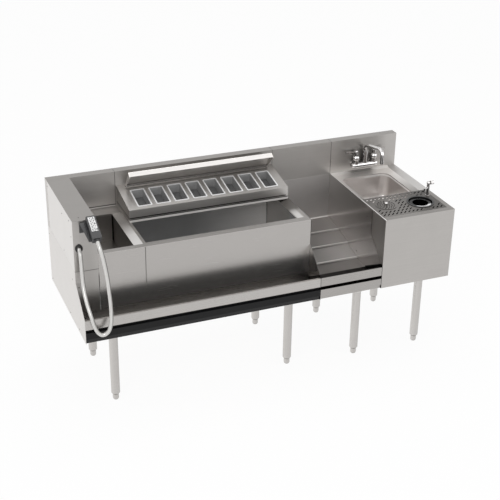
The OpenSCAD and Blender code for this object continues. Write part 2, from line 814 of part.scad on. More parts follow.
// Dipper well: a flanged cup, a loose inner bowl, a small tap and its knob
dipper_flange_w = 7;
dipper_flange_r = dipper_r + dipper_flange_w;
dipper_flange_t = 2;
dipper_h = 95;
dipper_tail_r = 15;
dipper_tail_l = 40;
dipper_tail_bore_r = 13;
dipper_tail_back = 36;
module dipper_well() {
    color(dark_steel) translate([dipper_x, dipper_y, work_h]) difference() {
        union() {
            rotate_extrude() polygon([
                [dipper_r - t, dipper_flange_t], [dipper_flange_r, dipper_flange_t], [dipper_flange_r, 0],
                [dipper_r, 0], [dipper_r, -dipper_h], [0, -dipper_h], [0, -dipper_h + t],
                [dipper_r - t, -dipper_h + t]
            ]);
            translate([0, dipper_tail_back, -dipper_h - dipper_tail_l])
                cylinder(r = dipper_tail_r, h = dipper_tail_l);
        }
        translate([0, dipper_tail_back, -dipper_h - dipper_tail_l - over])
            cylinder(r = dipper_tail_bore_r, h = dipper_tail_l + t + 2 * over);
    }
}

bowl_rim_drop = 4;
bowl_lip_w = 12;
dipper_bowl_clear = 6;
dipper_bowl_foot_r = 20;
dipper_bowl_wall = 1.5;
dipper_bowl_waist = 12;
module dipper_bowl() {
    r = dipper_r - t - dipper_bowl_clear;
    wall_r = r - bowl_lip_w;
    w = dipper_bowl_wall;
    low = -dipper_h + t;
    color(chrome) translate([dipper_x, dipper_y, work_h]) rotate_extrude() polygon([
        [r, -bowl_rim_drop], [r, -bowl_rim_drop - w], [wall_r, -bowl_rim_drop - w],
        [wall_r, low + dipper_bowl_waist + w], [dipper_bowl_foot_r, low],
        [dipper_bowl_foot_r - w, low], [dipper_bowl_foot_r - w, low + w],
        [wall_r - w, low + dipper_bowl_waist + 2 * w], [wall_r - w, -bowl_rim_drop]
    ]);
}

valve_flange_r = 10;
valve_flange_h = 3;
valve_body_r = 7.5;
valve_body_h = 58;
valve_shank_l = 48;
valve_tail_r = 6;
valve_tail_l = 14;
valve_stem_z = 66;
valve_stem_r = 3;
valve_stem_l = 12;
valve_head_r = 9;
nozzle_r = 5.5;
nozzle_h = 22;
nozzle_reach = 36;
nozzle_turn = 212;
nozzle_z = 28;
module dipper_tap() {
    color(chrome) translate([valve_x, valve_y, work_h]) {
        cylinder(r = valve_flange_r, h = valve_flange_h);
        cylinder(r = valve_body_r, h = valve_body_h);
        translate([0, 0, -valve_shank_l]) cylinder(r = valve_shank_r, h = valve_shank_l);
        translate([0, 0, -valve_shank_l - valve_tail_l]) cylinder(r = valve_tail_r, h = valve_tail_l);
        translate([0, 0, valve_stem_z]) sphere(valve_head_r);
        translate([0, 0, valve_stem_z]) rotate([0, 90, 0])
            cylinder(r = valve_stem_r, h = valve_head_r + valve_stem_l);
        rotate(nozzle_turn) {
            translate([0, 0, nozzle_z + nozzle_h - nozzle_r]) rotate([0, 90, 0])
                cylinder(r = nozzle_r * 3 / 4, h = nozzle_reach);
            translate([nozzle_reach, 0, nozzle_z]) cylinder(r = nozzle_r, h = nozzle_h);
        }
    }
}

knob_r = 10;
knob_l = 16;
knob_flutes = 10;
knob_flute_r = 1.6;
knob_gap = 2;
module dipper_knob() {
    color(chrome) translate([valve_x + valve_head_r + knob_gap, valve_y, work_h + valve_stem_z])
        rotate([0, 90, 0]) difference() {
            cylinder(r = knob_r, h = knob_l);
            for (i = [0:knob_flutes - 1]) rotate(i * 360 / knob_flutes)
                translate([knob_r, 0, -over]) cylinder(r = knob_flute_r, h = knob_l + 2 * over, $fn = 24);
            translate([0, 0, -over]) cylinder(r = valve_stem_r + stem_clear, h = valve_stem_l + over);
        }
}

// Two-handle tap on the backsplash
tap_bar_l = 150;
rose_r = 21;
rose_t = 4;
shank_l = 28.5;
valve_neck_r = 14;
bell_r = 18;
bell_z = 41;
spindle_r = 5;
spindle_top = 84;
riser_r = 13;
riser_h = 56;
swivel_r = 9;
swivel_h = 14;

module faucet_body() {
    color(chrome) {
        translate([tap_x - tap_bar_l / 2 + tap_bar_r, tap_y, tap_bar_z]) rotate([0, 90, 0])
            cylinder(r = tap_bar_r, h = tap_bar_l - 2 * tap_bar_r);
        for (s = [-1, 1]) {
            translate([tap_x + s * (tap_bar_l / 2 - tap_bar_r), tap_y, tap_bar_z]) sphere(tap_bar_r);
            translate([tap_x + s * tap_centres / 2, tap_y, tap_bar_z]) {
                rotate([-90, 0, 0]) cylinder(r = neck_r, h = y_wall - tap_y + t);
                rotate([-90, 0, 0]) cylinder(r = shank_r, h = y_wall - tap_y + t + shank_l);
                translate([0, y_wall - tap_y - rose_t, 0]) rotate([-90, 0, 0])
                    cylinder(r = rose_r, h = rose_t);
                cylinder(r = valve_neck_r, h = bell_z);
                translate([0, 0, bell_z]) sphere(bell_r);
                cylinder(r = spindle_r, h = spindle_top);
            }
        }
        translate([tap_x, tap_y, tap_bar_z]) {
            cylinder(r = riser_r, h = riser_h);
            cylinder(r = swivel_r, h = riser_h + swivel_h);
        }
    }
}

// Spout: collar, rise, elbow, sloping arm, elbow and outlet, in the plane through its swivel
spout_collar_r = 14;
spout_collar_h = 20;
spout_rise_h = 26;
elbow_r = 30;
elbow_turn = 78;
outlet_h = 37;
tip_r = 10.5;
tip_h = 12;
tip_bore_r = 6;
collar_lift = 0.3;
spout_bite = 0.5;
spout_swell = 0.1;

// Quarter-like bend: starts at the origin going up, and turns towards -Y
module bend(turn) {
    translate([0, -elbow_r, 0]) rotate([90, 0, 90]) rotate_extrude(angle = turn)
        translate([elbow_r, 0]) circle(spout_r);
}

// Straight stretch of the spout, a little fuller than its bends and reaching into them
module straight(z0, z1) {
    translate([0, 0, z0 - spout_bite]) cylinder(r = spout_r + spout_swell, h = z1 - z0 + 2 * spout_bite);
}

module faucet_spout() {
    base_z = tap_bar_z + riser_h + collar_lift;
    color(chrome) translate([tap_x, tap_y, base_z]) {
        difference() {
            cylinder(r = spout_collar_r, h = spout_collar_h);
            translate([0, 0, -over]) cylinder(r = swivel_r + stem_clear, h = swivel_h + over);
        }
        straight(spout_collar_h - t, spout_rise_h);
        translate([0, 0, spout_rise_h]) {
            bend(elbow_turn);
            translate([0, -elbow_r, 0]) rotate([elbow_turn, 0, 0]) translate([0, elbow_r, 0]) {
                straight(0, spout_arm);
                translate([0, 0, spout_arm]) {
                    bend(180 - elbow_turn);
                    translate([0, -elbow_r, 0]) rotate([180 - elbow_turn, 0, 0])
                        translate([0, elbow_r, 0]) difference() {
                            union() {
                                straight(0, outlet_h - tip_h / 2);
                                translate([0, 0, outlet_h - tip_h]) cylinder(r = tip_r, h = tip_h);
                            }
                            translate([0, 0, outlet_h - tip_h]) cylinder(r = tip_bore_r, h = tip_h + over);
                        }
                }
            }
        }
    }
}

// Lever handle on a spindle: side is -1 for the left one and 1 for the right one
handle_hub_r = 11;
handle_hub_h = 16;
handle_l = 57;
handle_w = 15;
handle_t = 6;
handle_rise = 8;
module lever(side) {
    color(chrome) translate([tap_x + side * tap_centres / 2, tap_y,
                             tap_bar_z + bell_z + bell_r + collar_lift])
        difference() {
            union() {
                cylinder(r = handle_hub_r, h = handle_hub_h);
                translate([0, 0, handle_hub_h]) sphere(handle_hub_r * 3 / 4);
                rotate([0, side * -handle_rise, 0]) translate([0, 0, handle_hub_h / 2]) {
                    translate([side < 0 ? -handle_l : 0, -handle_w / 2, 0])
                        cube([handle_l, handle_w, handle_t]);
                    translate([side * handle_l, 0, 0]) cylinder(r = handle_w / 2, h = handle_t);
                }
            }
            translate([0, 0, -over])
                cylinder(r = spindle_r + stem_clear, h = spindle_top - bell_z - bell_r + over + collar_lift);
        }
}

module hot_handle() { lever(-1); }
module cold_handle() { lever(1); }

// Condiment rack: a wedge of folded sheet with eight openings, on the bin's side rims
rack_gap_l = 6;
rack_gap_r = 5;
rack_x0 = x_bin + rack_gap_l;
rack_x1 = x_step - rack_gap_r;
rack_y = y_wall - rack_d;
rack_front_z = work_h + rack_front_h;
rack_slope = atan2(rack_rise, rack_d);
rack_lip_h = 12;
rack_lip_out = 3;
rack_groove_h = 3;
pan_front_in = 20;
pan_wall = 2;
pan_rim_w = 4;
pan_rim_t = 2;
pan_r = 6;
pan_play = 1;
pan_lift = 0.05;
hinge_in = 189;
hinge_lift = 8;
hinge_r = 2.5;
ear_t = 2;
ear_r = 4;
ear_foot_w = 7;
lid_x_in = 39;
lid_x0 = rack_x0 + lid_x_in;
lid_x1 = rack_x0 + pan_first + (pan_count - 1) * pan_pitch + pan_w + pan_first - lid_x_in;

// Frame of the rack's top: its Y runs up the slope and its Z stands square to it
module on_rack() {
    translate([0, rack_y, rack_front_z]) rotate([rack_slope, 0, 0]) children();
}

function pan_x(i) = rack_x0 + pan_first + i * pan_pitch;

module rack_side(x0) {
    along_x(x0, x0 + t) polygon([
        [rack_y, work_h], [rack_y, rack_front_z], [y_wall, rack_front_z + rack_rise], [y_wall, work_h]
    ]);
}

module rack_body() {
    color(steel) difference() {
        union() {
            rack_side(rack_x0);
            rack_side(rack_x1 - t);
            along_x(rack_x0, rack_x1) polygon(below([
                [rack_y, rack_front_z], [y_wall, rack_front_z + rack_rise]
            ], t));
            slab(rack_x0, rack_x1, rack_y, rack_y + t, work_h + rack_lip_h, rack_front_z);
            slab(rack_x0, rack_x1, rack_y + rack_lip_out, rack_y + rack_lip_out + t,
                 work_h + rack_lip_h - t, work_h + rack_lip_h + rack_groove_h + t);
            slab(rack_x0, rack_x1, rack_y, rack_y + rack_lip_out + t,
                 work_h + rack_lip_h + rack_groove_h, work_h + rack_lip_h + rack_groove_h + t);
            slab(rack_x0, rack_x1, rack_y - rack_lip_out, rack_y + rack_lip_out + t,
                 work_h + rack_lip_h - t, work_h + rack_lip_h);
            slab(rack_x0, rack_x1, rack_y - rack_lip_out, rack_y - rack_lip_out + t,
                 work_h, work_h + rack_lip_h);
            slab(rack_x0, rack_x0 + t, rack_y - rack_lip_out, rack_y + t, work_h, work_h + rack_lip_h);
            slab(rack_x1 - t, rack_x1, rack_y - rack_lip_out, rack_y + t, work_h, work_h + rack_lip_h);
            for (x = [lid_x0 + t + ear_t, lid_x1 - t - 2 * ear_t]) on_rack() {
                slab(x, x + ear_t, hinge_in - ear_foot_w / 2, hinge_in + ear_foot_w / 2, -t / 2, hinge_lift);
                translate([x, hinge_in, hinge_lift]) rotate([0, 90, 0]) cylinder(r = ear_r, h = ear_t);
            }
        }
        slab(rack_x0 - over, rack_x1 + over, rack_y - over / 2, rack_y + rack_lip_out,
             work_h + rack_lip_h, work_h + rack_lip_h + rack_groove_h);
        for (i = [0:pan_count - 1]) on_rack() translate([
            pan_x(i) + pan_rim_w - pan_play, pan_front_in + pan_rim_w - pan_play, -t - over
        ]) linear_extrude(t + 2 * over)
            round_rect(pan_w - 2 * pan_rim_w + 2 * pan_play, pan_l - 2 * pan_rim_w + 2 * pan_play, pan_r);
        on_rack() translate([lid_x0, hinge_in, hinge_lift]) rotate([0, 90, 0])
            cylinder(r = hinge_r, h = lid_x1 - lid_x0);
    }
}

// Rod through the rack's two ears, on which the lid turns
rod_past = 3;
module lid_hinge_rod() {
    color(dark_steel) on_rack() translate([lid_x0 - rod_past, hinge_in, hinge_lift]) rotate([0, 90, 0])
        cylinder(r = hinge_r, h = lid_x1 - lid_x0 + 2 * rod_past);
}

// Lid: a plate with a folded lip and two tapering cheeks, drawn closed and level from its hinge
lid_lip_h = 21;
lid_lip_in = 7;
cheek_h = 30;
cheek_eye_r = 6;
plate_up = 6;
module rack_lid() {
    y_hinge = rack_y + hinge_in * cos(rack_slope) - hinge_lift * sin(rack_slope);
    z_hinge = rack_front_z + hinge_in * sin(rack_slope) + hinge_lift * cos(rack_slope);
    color(pale_steel) translate([0, y_hinge, z_hinge]) rotate([-lid_open, 0, 0]) {
        slab(lid_x0, lid_x1, -lid_l, 0, plate_up - t, plate_up);
        along_x(lid_x0, lid_x1) polygon([
            [-lid_l, plate_up], [-lid_l + t, plate_up],
            [-lid_l + lid_lip_in + t, plate_up - lid_lip_h], [-lid_l + lid_lip_in, plate_up - lid_lip_h]
        ]);
        for (x = [lid_x0, lid_x1 - t]) difference() {
            union() {
                along_x(x, x + t) polygon([
                    [-lid_l, plate_up], [0, plate_up], [0, -cheek_eye_r / 2], [-lid_l, plate_up - cheek_h]
                ]);
                translate([x, 0, 0]) rotate([0, 90, 0]) cylinder(r = cheek_eye_r, h = t);
            }
            translate([x - over, 0, 0]) rotate([0, 90, 0])
                cylinder(r = hinge_r + stem_clear, h = t + 2 * over);
        }
    }
}

// One pan: a flanged tub that hangs in an opening of the rack's top
module condiment_pan(i) {
    w = pan_w - 2 * pan_rim_w;
    l = pan_l - 2 * pan_rim_w;
    color([0.62, 0.62, 0.64]) on_rack() translate([pan_x(i), pan_front_in, pan_lift]) difference() {
        union() {
            linear_extrude(pan_rim_t) round_rect(pan_w, pan_l, pan_r);
            translate([pan_rim_w, pan_rim_w, -pan_depth])
                linear_extrude(pan_depth + pan_rim_t) round_rect(w, l, pan_r);
        }
        translate([pan_rim_w + pan_wall, pan_rim_w + pan_wall, -pan_depth + pan_wall])
            linear_extrude(pan_depth + over) round_rect(w - 2 * pan_wall, l - 2 * pan_wall, pan_r - pan_wall);
    }
}

// Soda gun: frame of its top face, with Y back along the gun and Z square to the buttons
gun_in = 77.5;
gun_cx = x_left + gun_in;
gun_back = 14.4;
gun_rise = 23;
gun_end_r = 5;
nose_r = 11;
nose_l = 14;
nose_in = 22;
gun_rest = 0.3;
button_w = 13.4;
button_l = 14;
button_gap = 1.6;
button_rows = 5;
button_up = 2.4;
button_down = 2;
button_play = 0.25;
button_travel = 1.4;
button_floor = 1;
pad_in = 7;
pad_r = 1.5;
cuff_r = 12;
cuff_l = 10;

module on_gun() {
    translate([gun_cx, y_apron - gun_back, top_z + gun_rise]) rotate([gun_tilt, 0, 0]) children();
}

// Low corner of button k, counted along the left column and then the right one
function button_at(k) = [
    (floor(k / button_rows) - 1) * (button_w + button_gap) + button_gap / 2,
    -pad_in - (k % button_rows + 1) * (button_l + button_gap)
];

module gun_body() {
    color(black) on_gun() difference() {
        union() {
            translate([-gun_w / 2, -gun_l, -gun_t]) linear_extrude(gun_t) round_rect(gun_w, gun_l, gun_end_r);
            translate([0, -nose_in, -gun_t - nose_l]) cylinder(r = nose_r, h = nose_l + t);
            translate([0, -gun_l + t, -gun_t / 2]) rotate([90, 0, 0]) cylinder(r = cuff_r, h = cuff_l);
        }
        for (k = [0:2 * button_rows - 1]) translate([
            button_at(k)[0] - button_play, button_at(k)[1] - button_play,
            -button_down - button_travel - button_floor
        ]) linear_extrude(button_down + button_travel + button_floor + over)
            round_rect(button_w + 2 * button_play, button_l + 2 * button_play, pad_r + button_play);
        translate([0, -nose_in, -gun_t - nose_l - over]) cylinder(r = nose_r / 2, h = nose_l + over);
    }
}

module gun_button(k) {
    color([0.92, 0.92, 0.92]) on_gun() translate([button_at(k)[0], button_at(k)[1], -button_down])
        linear_extrude(button_down + button_up) round_rect(button_w, button_l, pad_r);
}

// Holder: a wall plate, a sloping cradle with low sides and a forked end, and a web below it
cradle_t = 3;
cradle_left = 26;
cradle_right = 2;
cradle_tip_in = 16;
cradle_start = 6;
cradle_end = 112;
fork_w = 22;
fork_l = 22;
cradle_side_h = 9;
cradle_side_gap = 1.5;
plate_t = 4;
plate_top_drop = 8;
plate_h = 48;
nose_clear = 2;
web_t = 12;
web_reach = 38;

module gun_holder() {
    color(black) difference() {
        union() {
            on_gun() translate([0, 0, -gun_t - gun_rest - cradle_t]) {
                linear_extrude(cradle_t) polygon([
                    [-gun_w / 2 - cradle_left, -cradle_start], [gun_w / 2 - cradle_right, -cradle_start],
                    [gun_w / 2 - cradle_right, -cradle_end],
                    [-gun_w / 2 - cradle_left + cradle_tip_in, -cradle_end]
                ]);
                translate([-gun_w / 2 - cradle_side_gap - cradle_t, -cradle_end, 0])
                    cube([cradle_t, cradle_end - cradle_start, cradle_t + cradle_side_h]);
            }
            slab(gun_cx - gun_w / 2 - cradle_left, gun_cx + gun_w / 2 - cradle_right,
                 y_apron - plate_t, y_apron, top_z - plate_top_drop - plate_h, top_z - plate_top_drop);
            along_x(gun_cx - web_t / 2, gun_cx + web_t / 2) polygon([
                [y_apron - plate_t / 2, top_z - plate_top_drop - plate_h],
                [y_apron - plate_t - web_reach, cradle_z(web_reach + plate_t)],
                [y_apron - plate_t / 2, cradle_z(plate_t)]
            ]);
        }
        on_gun() translate([0, -nose_in, -gun_t - nose_l - over])
            cylinder(r = nose_r + nose_clear, h = nose_l + 2 * over - nose_clear);
        on_gun() slab(-fork_w / 2, fork_w / 2, -cradle_end - over, -cradle_end + fork_l,
                      -gun_t - gun_rest - cradle_t - over, -gun_t);
    }
}

// Height of the cradle's underside at a distance out from the box
function cradle_z(out) = top_z + gun_rise - (gun_t + gun_rest + cradle_t) / cos(gun_tilt)
    - (out - gun_back) * tan(gun_tilt) + cradle_t / 2;

// Hose: a hanging loop through points chosen by hand, from the gland to the gun's cuff
hose_route = [
    [-890.5, -212, 781], [-891, -218, 770], [-891, -221, 756], [-891, -224, 730],
    [-891, -229, 700], [-892, -240, 660], [-893, -260, 620], [-892, -286, 585], [-889, -314, 555],
    [-884, -334, 525], [-879, -344, 498], [-872, -351, 476], [-862, -356, 459], [-848, -360, 450],
    [-833, -363, 454], [-820, -366, 468], [-812, -368, 490], [-808, -370, 520], [-807, -371, 560],
    [-808, -371, 610], [-811, -370, 660], [-814, -368, 710], [-819, -365, 758], [-824, -362, 796],
    [-828, -357, 824], [-832, -350, 846], [-835, -342, 861], [-836, -335, 869], [-837, -328, 875]
];
hose_sides = 10;
hose_gap = 0.2;

function unit(v) = v / norm(v);
function hose_dir(i) =
    i == 0 ? [0, -cos(gland_slope), -sin(gland_slope)]
    : i == len(hose_points) - 1 ? [0, cos(gun_tilt), sin(gun_tilt)]
    : unit(hose_points[i + 1] - hose_points[i - 1]);

// The first point lies on the gland's end face and the last one just clear of the cuff's
gland_end = [hose_x, y_apron - gland_l * cos(gland_slope), hose_exit_z - gland_l * sin(gland_slope)];
cuff_out = gun_l - t + cuff_l + hose_gap;
cuff_end = [
    gun_cx,
    y_apron - gun_back - cuff_out * cos(gun_tilt) + gun_t / 2 * sin(gun_tilt),
    top_z + gun_rise - cuff_out * sin(gun_tilt) - gun_t / 2 * cos(gun_tilt)
];
hose_points = concat([gland_end], hose_route, [cuff_end]);

// One ring square to the hose: its first side points away from the loop's own plane
function hose_ring(i) = let (d = hose_dir(i), u = unit(cross(d, [0, 1, 0.3])), v = cross(d, u)) [
    for (k = [0:hose_sides - 1]) hose_points[i]
        + hose_d / 2 * (cos(360 * k / hose_sides) * u + sin(360 * k / hose_sides) * v)
];

module soda_hose() {
    n = len(hose_points);
    m = hose_sides;
    color([0.86, 0.86, 0.85]) polyhedron(
        points = concat([for (i = [0:n - 1]) each hose_ring(i)], [hose_points[0]], [hose_points[n - 1]]),
        faces = concat(
            [for (i = [0:n - 2]) for (k = [0:m - 1])
                [i * m + k, (i + 1) * m + k, (i + 1) * m + (k + 1) % m]],
            [for (i = [0:n - 2]) for (k = [0:m - 1])
                [i * m + k, (i + 1) * m + (k + 1) % m, i * m + (k + 1) % m]],
            [for (k = [0:m - 1]) [n * m, k, (k + 1) % m]],
            [for (k = [0:m - 1]) [n * m + 1, (n - 1) * m + (k + 1) % m, (n - 1) * m + k]]
        )
    );
}

// Frame under the body: two channels along its length, with a socket for each leg
tie_w = 40;
socket_wall = 4;
socket_drop = 40;
socket_clear = 0.2;
leg_in_left = 153;
leg_in_bin = 108;
leg_in_step = 82;
leg_in_right = 111;
front_row_shift = 15;
leg_xs = [x_left + leg_in_left, x_step - leg_in_bin, x_sink - leg_in_step, x_right - leg_in_right];
leg_r = leg_d / 2;

// Front places lie a little further back under the left half than under the right half
function leg_y(i, back) = back ? y_front + back_row
    : y_front + front_row + (i < 2 ? 1 : -1) * front_row_shift;

module at_legs() {
    for (i = [0:len(leg_xs) - 1]) for (back = [false, true])
        translate([leg_xs[i], leg_y(i, back), 0]) children();
}

module channel(y) {
    slab(x_left + t, x_right - t, y - channel_w / 2, y + channel_w / 2,
         base_h + channel_h - t, base_h + channel_h);
    for (s = [y - channel_w / 2, y + channel_w / 2 - t])
        slab(x_left + t, x_right - t, s, s + t, base_h, base_h + channel_h);
}

module base_frame() {
    color(dark_steel) difference() {
        union() {
            channel(y_front + front_row);
            channel(y_front + back_row);
            at_legs() translate([0, 0, base_h - socket_drop])
                ring(leg_r + socket_wall, leg_r + socket_clear, socket_drop + channel_h - t);
            for (x = [x_bin, x_step, x_sink])
                slab(x - tie_w, x - notch_gap - 2 * t, y_front + front_row, y_front + back_row,
                     base_h + channel_h - t, base_h + channel_h);
        }
        translate([bin_drain[0], bin_drain[1], base_h - over])
            cylinder(r = drain_flange_r, h = channel_h + 2 * over);
    }
}

// Legs: tubes with a tapering plug that is drilled for the foot's stem
plug_taper_h = 9;
plug_h = 30;
leg_wall = 1.5;
leg_top_z = base_h + channel_h - 2 * t;
foot_stem_r = 8;
foot_stem_clear = 0.05;
foot_stem_l = 35;
module legs() {
    color(pale_steel) at_legs() {
        translate([0, 0, foot_h + plug_taper_h])
            ring(leg_r, leg_r - leg_wall, leg_top_z - foot_h - plug_taper_h);
        difference() {
            union() {
                translate([0, 0, foot_h]) cylinder(r1 = foot_d / 2, r2 = leg_r, h = plug_taper_h);
                translate([0, 0, foot_h + plug_taper_h]) cylinder(r = leg_r - leg_wall, h = plug_h);
            }
            translate([0, 0, foot_h - over])
                cylinder(r = foot_stem_r + foot_stem_clear, h = plug_taper_h + plug_h + 2 * over);
        }
    }
}

foot_tip_r = 9;
foot_round_h = 9;
module levelling_feet() {
    color(pale_steel) at_legs() rotate_extrude() polygon([
        [0, 0], [foot_tip_r, 0], [(foot_tip_r + foot_d / 2) / 2, foot_round_h / 4],
        [foot_d / 2 - t / 2, foot_round_h * 2 / 3], [foot_d / 2, foot_round_h],
        [foot_d / 2, foot_h], [foot_stem_r, foot_h], [foot_stem_r, foot_h + foot_stem_l],
        [0, foot_h + foot_stem_l]
    ]);
}

// Small screw heads, proud of the sheet they hold.
// Places on the left side: shares of the depth from the front and of the height from base_h to top_z.
screw_r = 3;
screw_proud = 0.5;
side_screw_shares = [
    [0.93, 0.95], [0.5, 0.92], [0.3, 0.96], [0.5, 0.58], [0.255, 0.84], [0.29, 0.43], [0.98, 0.47],
    [0.42, 0.03], [0.17, 0.03], [0.96, 0.03]
];
display_screw_shares = [[0.28, 0.57], [0.41, 0.145]];
box_screw_in = 37;
box_screw_back = 33;
flange_screw_in = 14;
flange_screw_drop = 22;
module panel_screws() {
    color(dark_steel) {
        for (p = side_screw_shares)
            translate([x_left - screw_proud, y_front + p[0] * depth, base_h + p[1] * (top_z - base_h)])
                rotate([0, 90, 0]) cylinder(r = screw_r, h = screw_proud);
        for (p = display_screw_shares)
            translate([x_sink - half_gap - t - screw_proud,
                       y_front + p[0] * depth, base_h + p[1] * (top_z - base_h)])
                rotate([0, 90, 0]) cylinder(r = screw_r, h = screw_proud);
        translate([x_left + box_screw_in, y_apron + box_screw_back, top_z])
            cylinder(r = screw_r, h = screw_proud);
        translate([x_left + flange_screw_in, y_apron, slant_z - flange_screw_drop])
            rotate([90, 0, 0]) cylinder(r = screw_r, h = screw_proud);
    }
}

backsplash();
rear_panel();
left_end_panel();
gun_box_cover();
gun_box_lower_panel();
well_liner();
well_apron();
bin_liner();
bin_insulation();
bin_apron();
drain_fittings();
step_end_panels();
step_display();
rail_main();
rail_lower_panel();
rail_step();
sink_cabinet();
sink_deck();
sink_bowl();
sink_strainer();
drain_tray();
rinser_base();
rinser_actuator();
dipper_well();
dipper_bowl();
dipper_tap();
dipper_knob();
faucet_body();
faucet_spout();
hot_handle();
cold_handle();
rack_body();
lid_hinge_rod();
rack_lid();
condiment_pan(0);  // condiment_pan_1
condiment_pan(1);  // condiment_pan_2
condiment_pan(2);  // condiment_pan_3
condiment_pan(3);  // condiment_pan_4
condiment_pan(4);  // condiment_pan_5
condiment_pan(5);  // condiment_pan_6
condiment_pan(6);  // condiment_pan_7
condiment_pan(7);  // condiment_pan_8
gun_holder();
gun_body();
hose_grommet();
soda_hose();
gun_button(0);  // gun_button_1
gun_button(1);  // gun_button_2
gun_button(2);  // gun_button_3
gun_button(3);  // gun_button_4
gun_button(4);  // gun_button_5
gun_button(5);  // gun_button_6
gun_button(6);  // gun_button_7
gun_button(7);  // gun_button_8
gun_button(8);  // gun_button_9
gun_button(9);  // gun_button_10
base_frame();
legs();
levelling_feet();
panel_screws();
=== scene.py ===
"""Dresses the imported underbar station: brushed sheet, bright taps, black soda gun and its glossy hose.

Every length is in metres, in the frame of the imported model: X to the right, Y to the wall, Z up.
"""
import logging
import math
from dataclasses import dataclass
from enum import Enum
from typing import Iterable, Optional, Sequence

import bpy
import numpy as np
from mathutils import Matrix, Vector


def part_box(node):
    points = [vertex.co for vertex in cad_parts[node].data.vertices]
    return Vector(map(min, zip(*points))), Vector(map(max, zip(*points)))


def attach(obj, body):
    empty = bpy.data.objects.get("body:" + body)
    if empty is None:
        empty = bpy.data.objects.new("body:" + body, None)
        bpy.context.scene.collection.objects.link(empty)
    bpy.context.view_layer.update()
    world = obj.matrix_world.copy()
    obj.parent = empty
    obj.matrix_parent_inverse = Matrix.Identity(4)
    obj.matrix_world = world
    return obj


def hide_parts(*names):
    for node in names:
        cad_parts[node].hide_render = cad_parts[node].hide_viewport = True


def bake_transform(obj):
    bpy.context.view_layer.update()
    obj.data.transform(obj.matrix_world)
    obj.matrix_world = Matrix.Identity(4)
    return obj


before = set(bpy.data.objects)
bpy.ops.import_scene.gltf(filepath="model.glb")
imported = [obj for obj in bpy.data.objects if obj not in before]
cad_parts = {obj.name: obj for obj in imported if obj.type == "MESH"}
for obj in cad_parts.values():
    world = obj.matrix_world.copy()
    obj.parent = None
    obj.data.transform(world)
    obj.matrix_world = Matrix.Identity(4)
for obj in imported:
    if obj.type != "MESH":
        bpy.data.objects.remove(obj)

LOG = logging.getLogger("underbar")
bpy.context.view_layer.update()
Colour = tuple[float, float, float]
Point = tuple[float, float, float]
Span = tuple[float, float]
Node = bpy.types.Node
Socket = bpy.types.NodeSocket
Material = bpy.types.Material

WHITE = (1.0, 1.0, 1.0, 1.0)
ANYWHERE: Span = (-9.0, 9.0)
NOISE_SPAN: Span = (0.3, 0.7)  # where nearly all of a noise node's values lie
# Noise in grains to the metre: along and across brushed lines, clouds on a sheet, specks in plastic.
GRAINS_ALONG, GRAINS_ACROSS, CLOUDS, SPECKS = 5.0, 420.0, 14.0, 900.0
# The next two spans mark where the painted highlight on leaning faces shows.
LEANS_LEFT: Span = (-0.16, -0.06)  # X share of a normal, from a clear lean to none
LIES_FLAT: Span = (0.85, 0.93)  # Z share of a normal, from a slope to nearly level
WORK_Z = 0.757  # top of the work deck
BASIN: Span = (0.4, WORK_Z - 0.0085)  # heights inside a basin, from under its floor to below its rim


def below(end: float) -> Span:
    """The span of everything up to a value."""
    return ANYWHERE[0], end


def above(start: float) -> Span:
    """The span of everything from a value on."""
    return start, ANYWHERE[1]


def near(place: float, before: float, after: float) -> Span:
    """The span from a little before a place to a little after it."""
    return place - before, place + after


def screen(red: float, green: float, blue: float) -> Colour:
    """Turns a screen colour of 0 to 255 into the linear values that a shader takes.

    Args:
        red, green, blue: The colour as it looks on a screen.

    Returns:
        The same colour in linear light, from the standard curve: a straight foot and a power of 2.4.
    """
    foot, slope, lift, power = 0.04045, 12.92, 0.055, 2.4
    shares = np.array([red, green, blue], float) / 255.0
    linear = np.where(shares <= foot, shares / slope, ((shares + lift) / (1.0 + lift)) ** power)
    return tuple(float(v) for v in linear)


class Body(str, Enum):
    """The moving bodies that new pieces ride on."""

    STATION = "station"
    GUN = "gun"


class Slot(str, Enum):
    """Material slot names for the gun's black and the hose's clear finish."""

    GUN = "gun_black"
    HOSE = "hose_clear"


def placed(name: str, data: bpy.types.ID) -> bpy.types.Object:
    """Makes an object of some data and links it into the scene."""
    thing = bpy.data.objects.new(name, data)
    bpy.context.collection.objects.link(thing)
    return thing


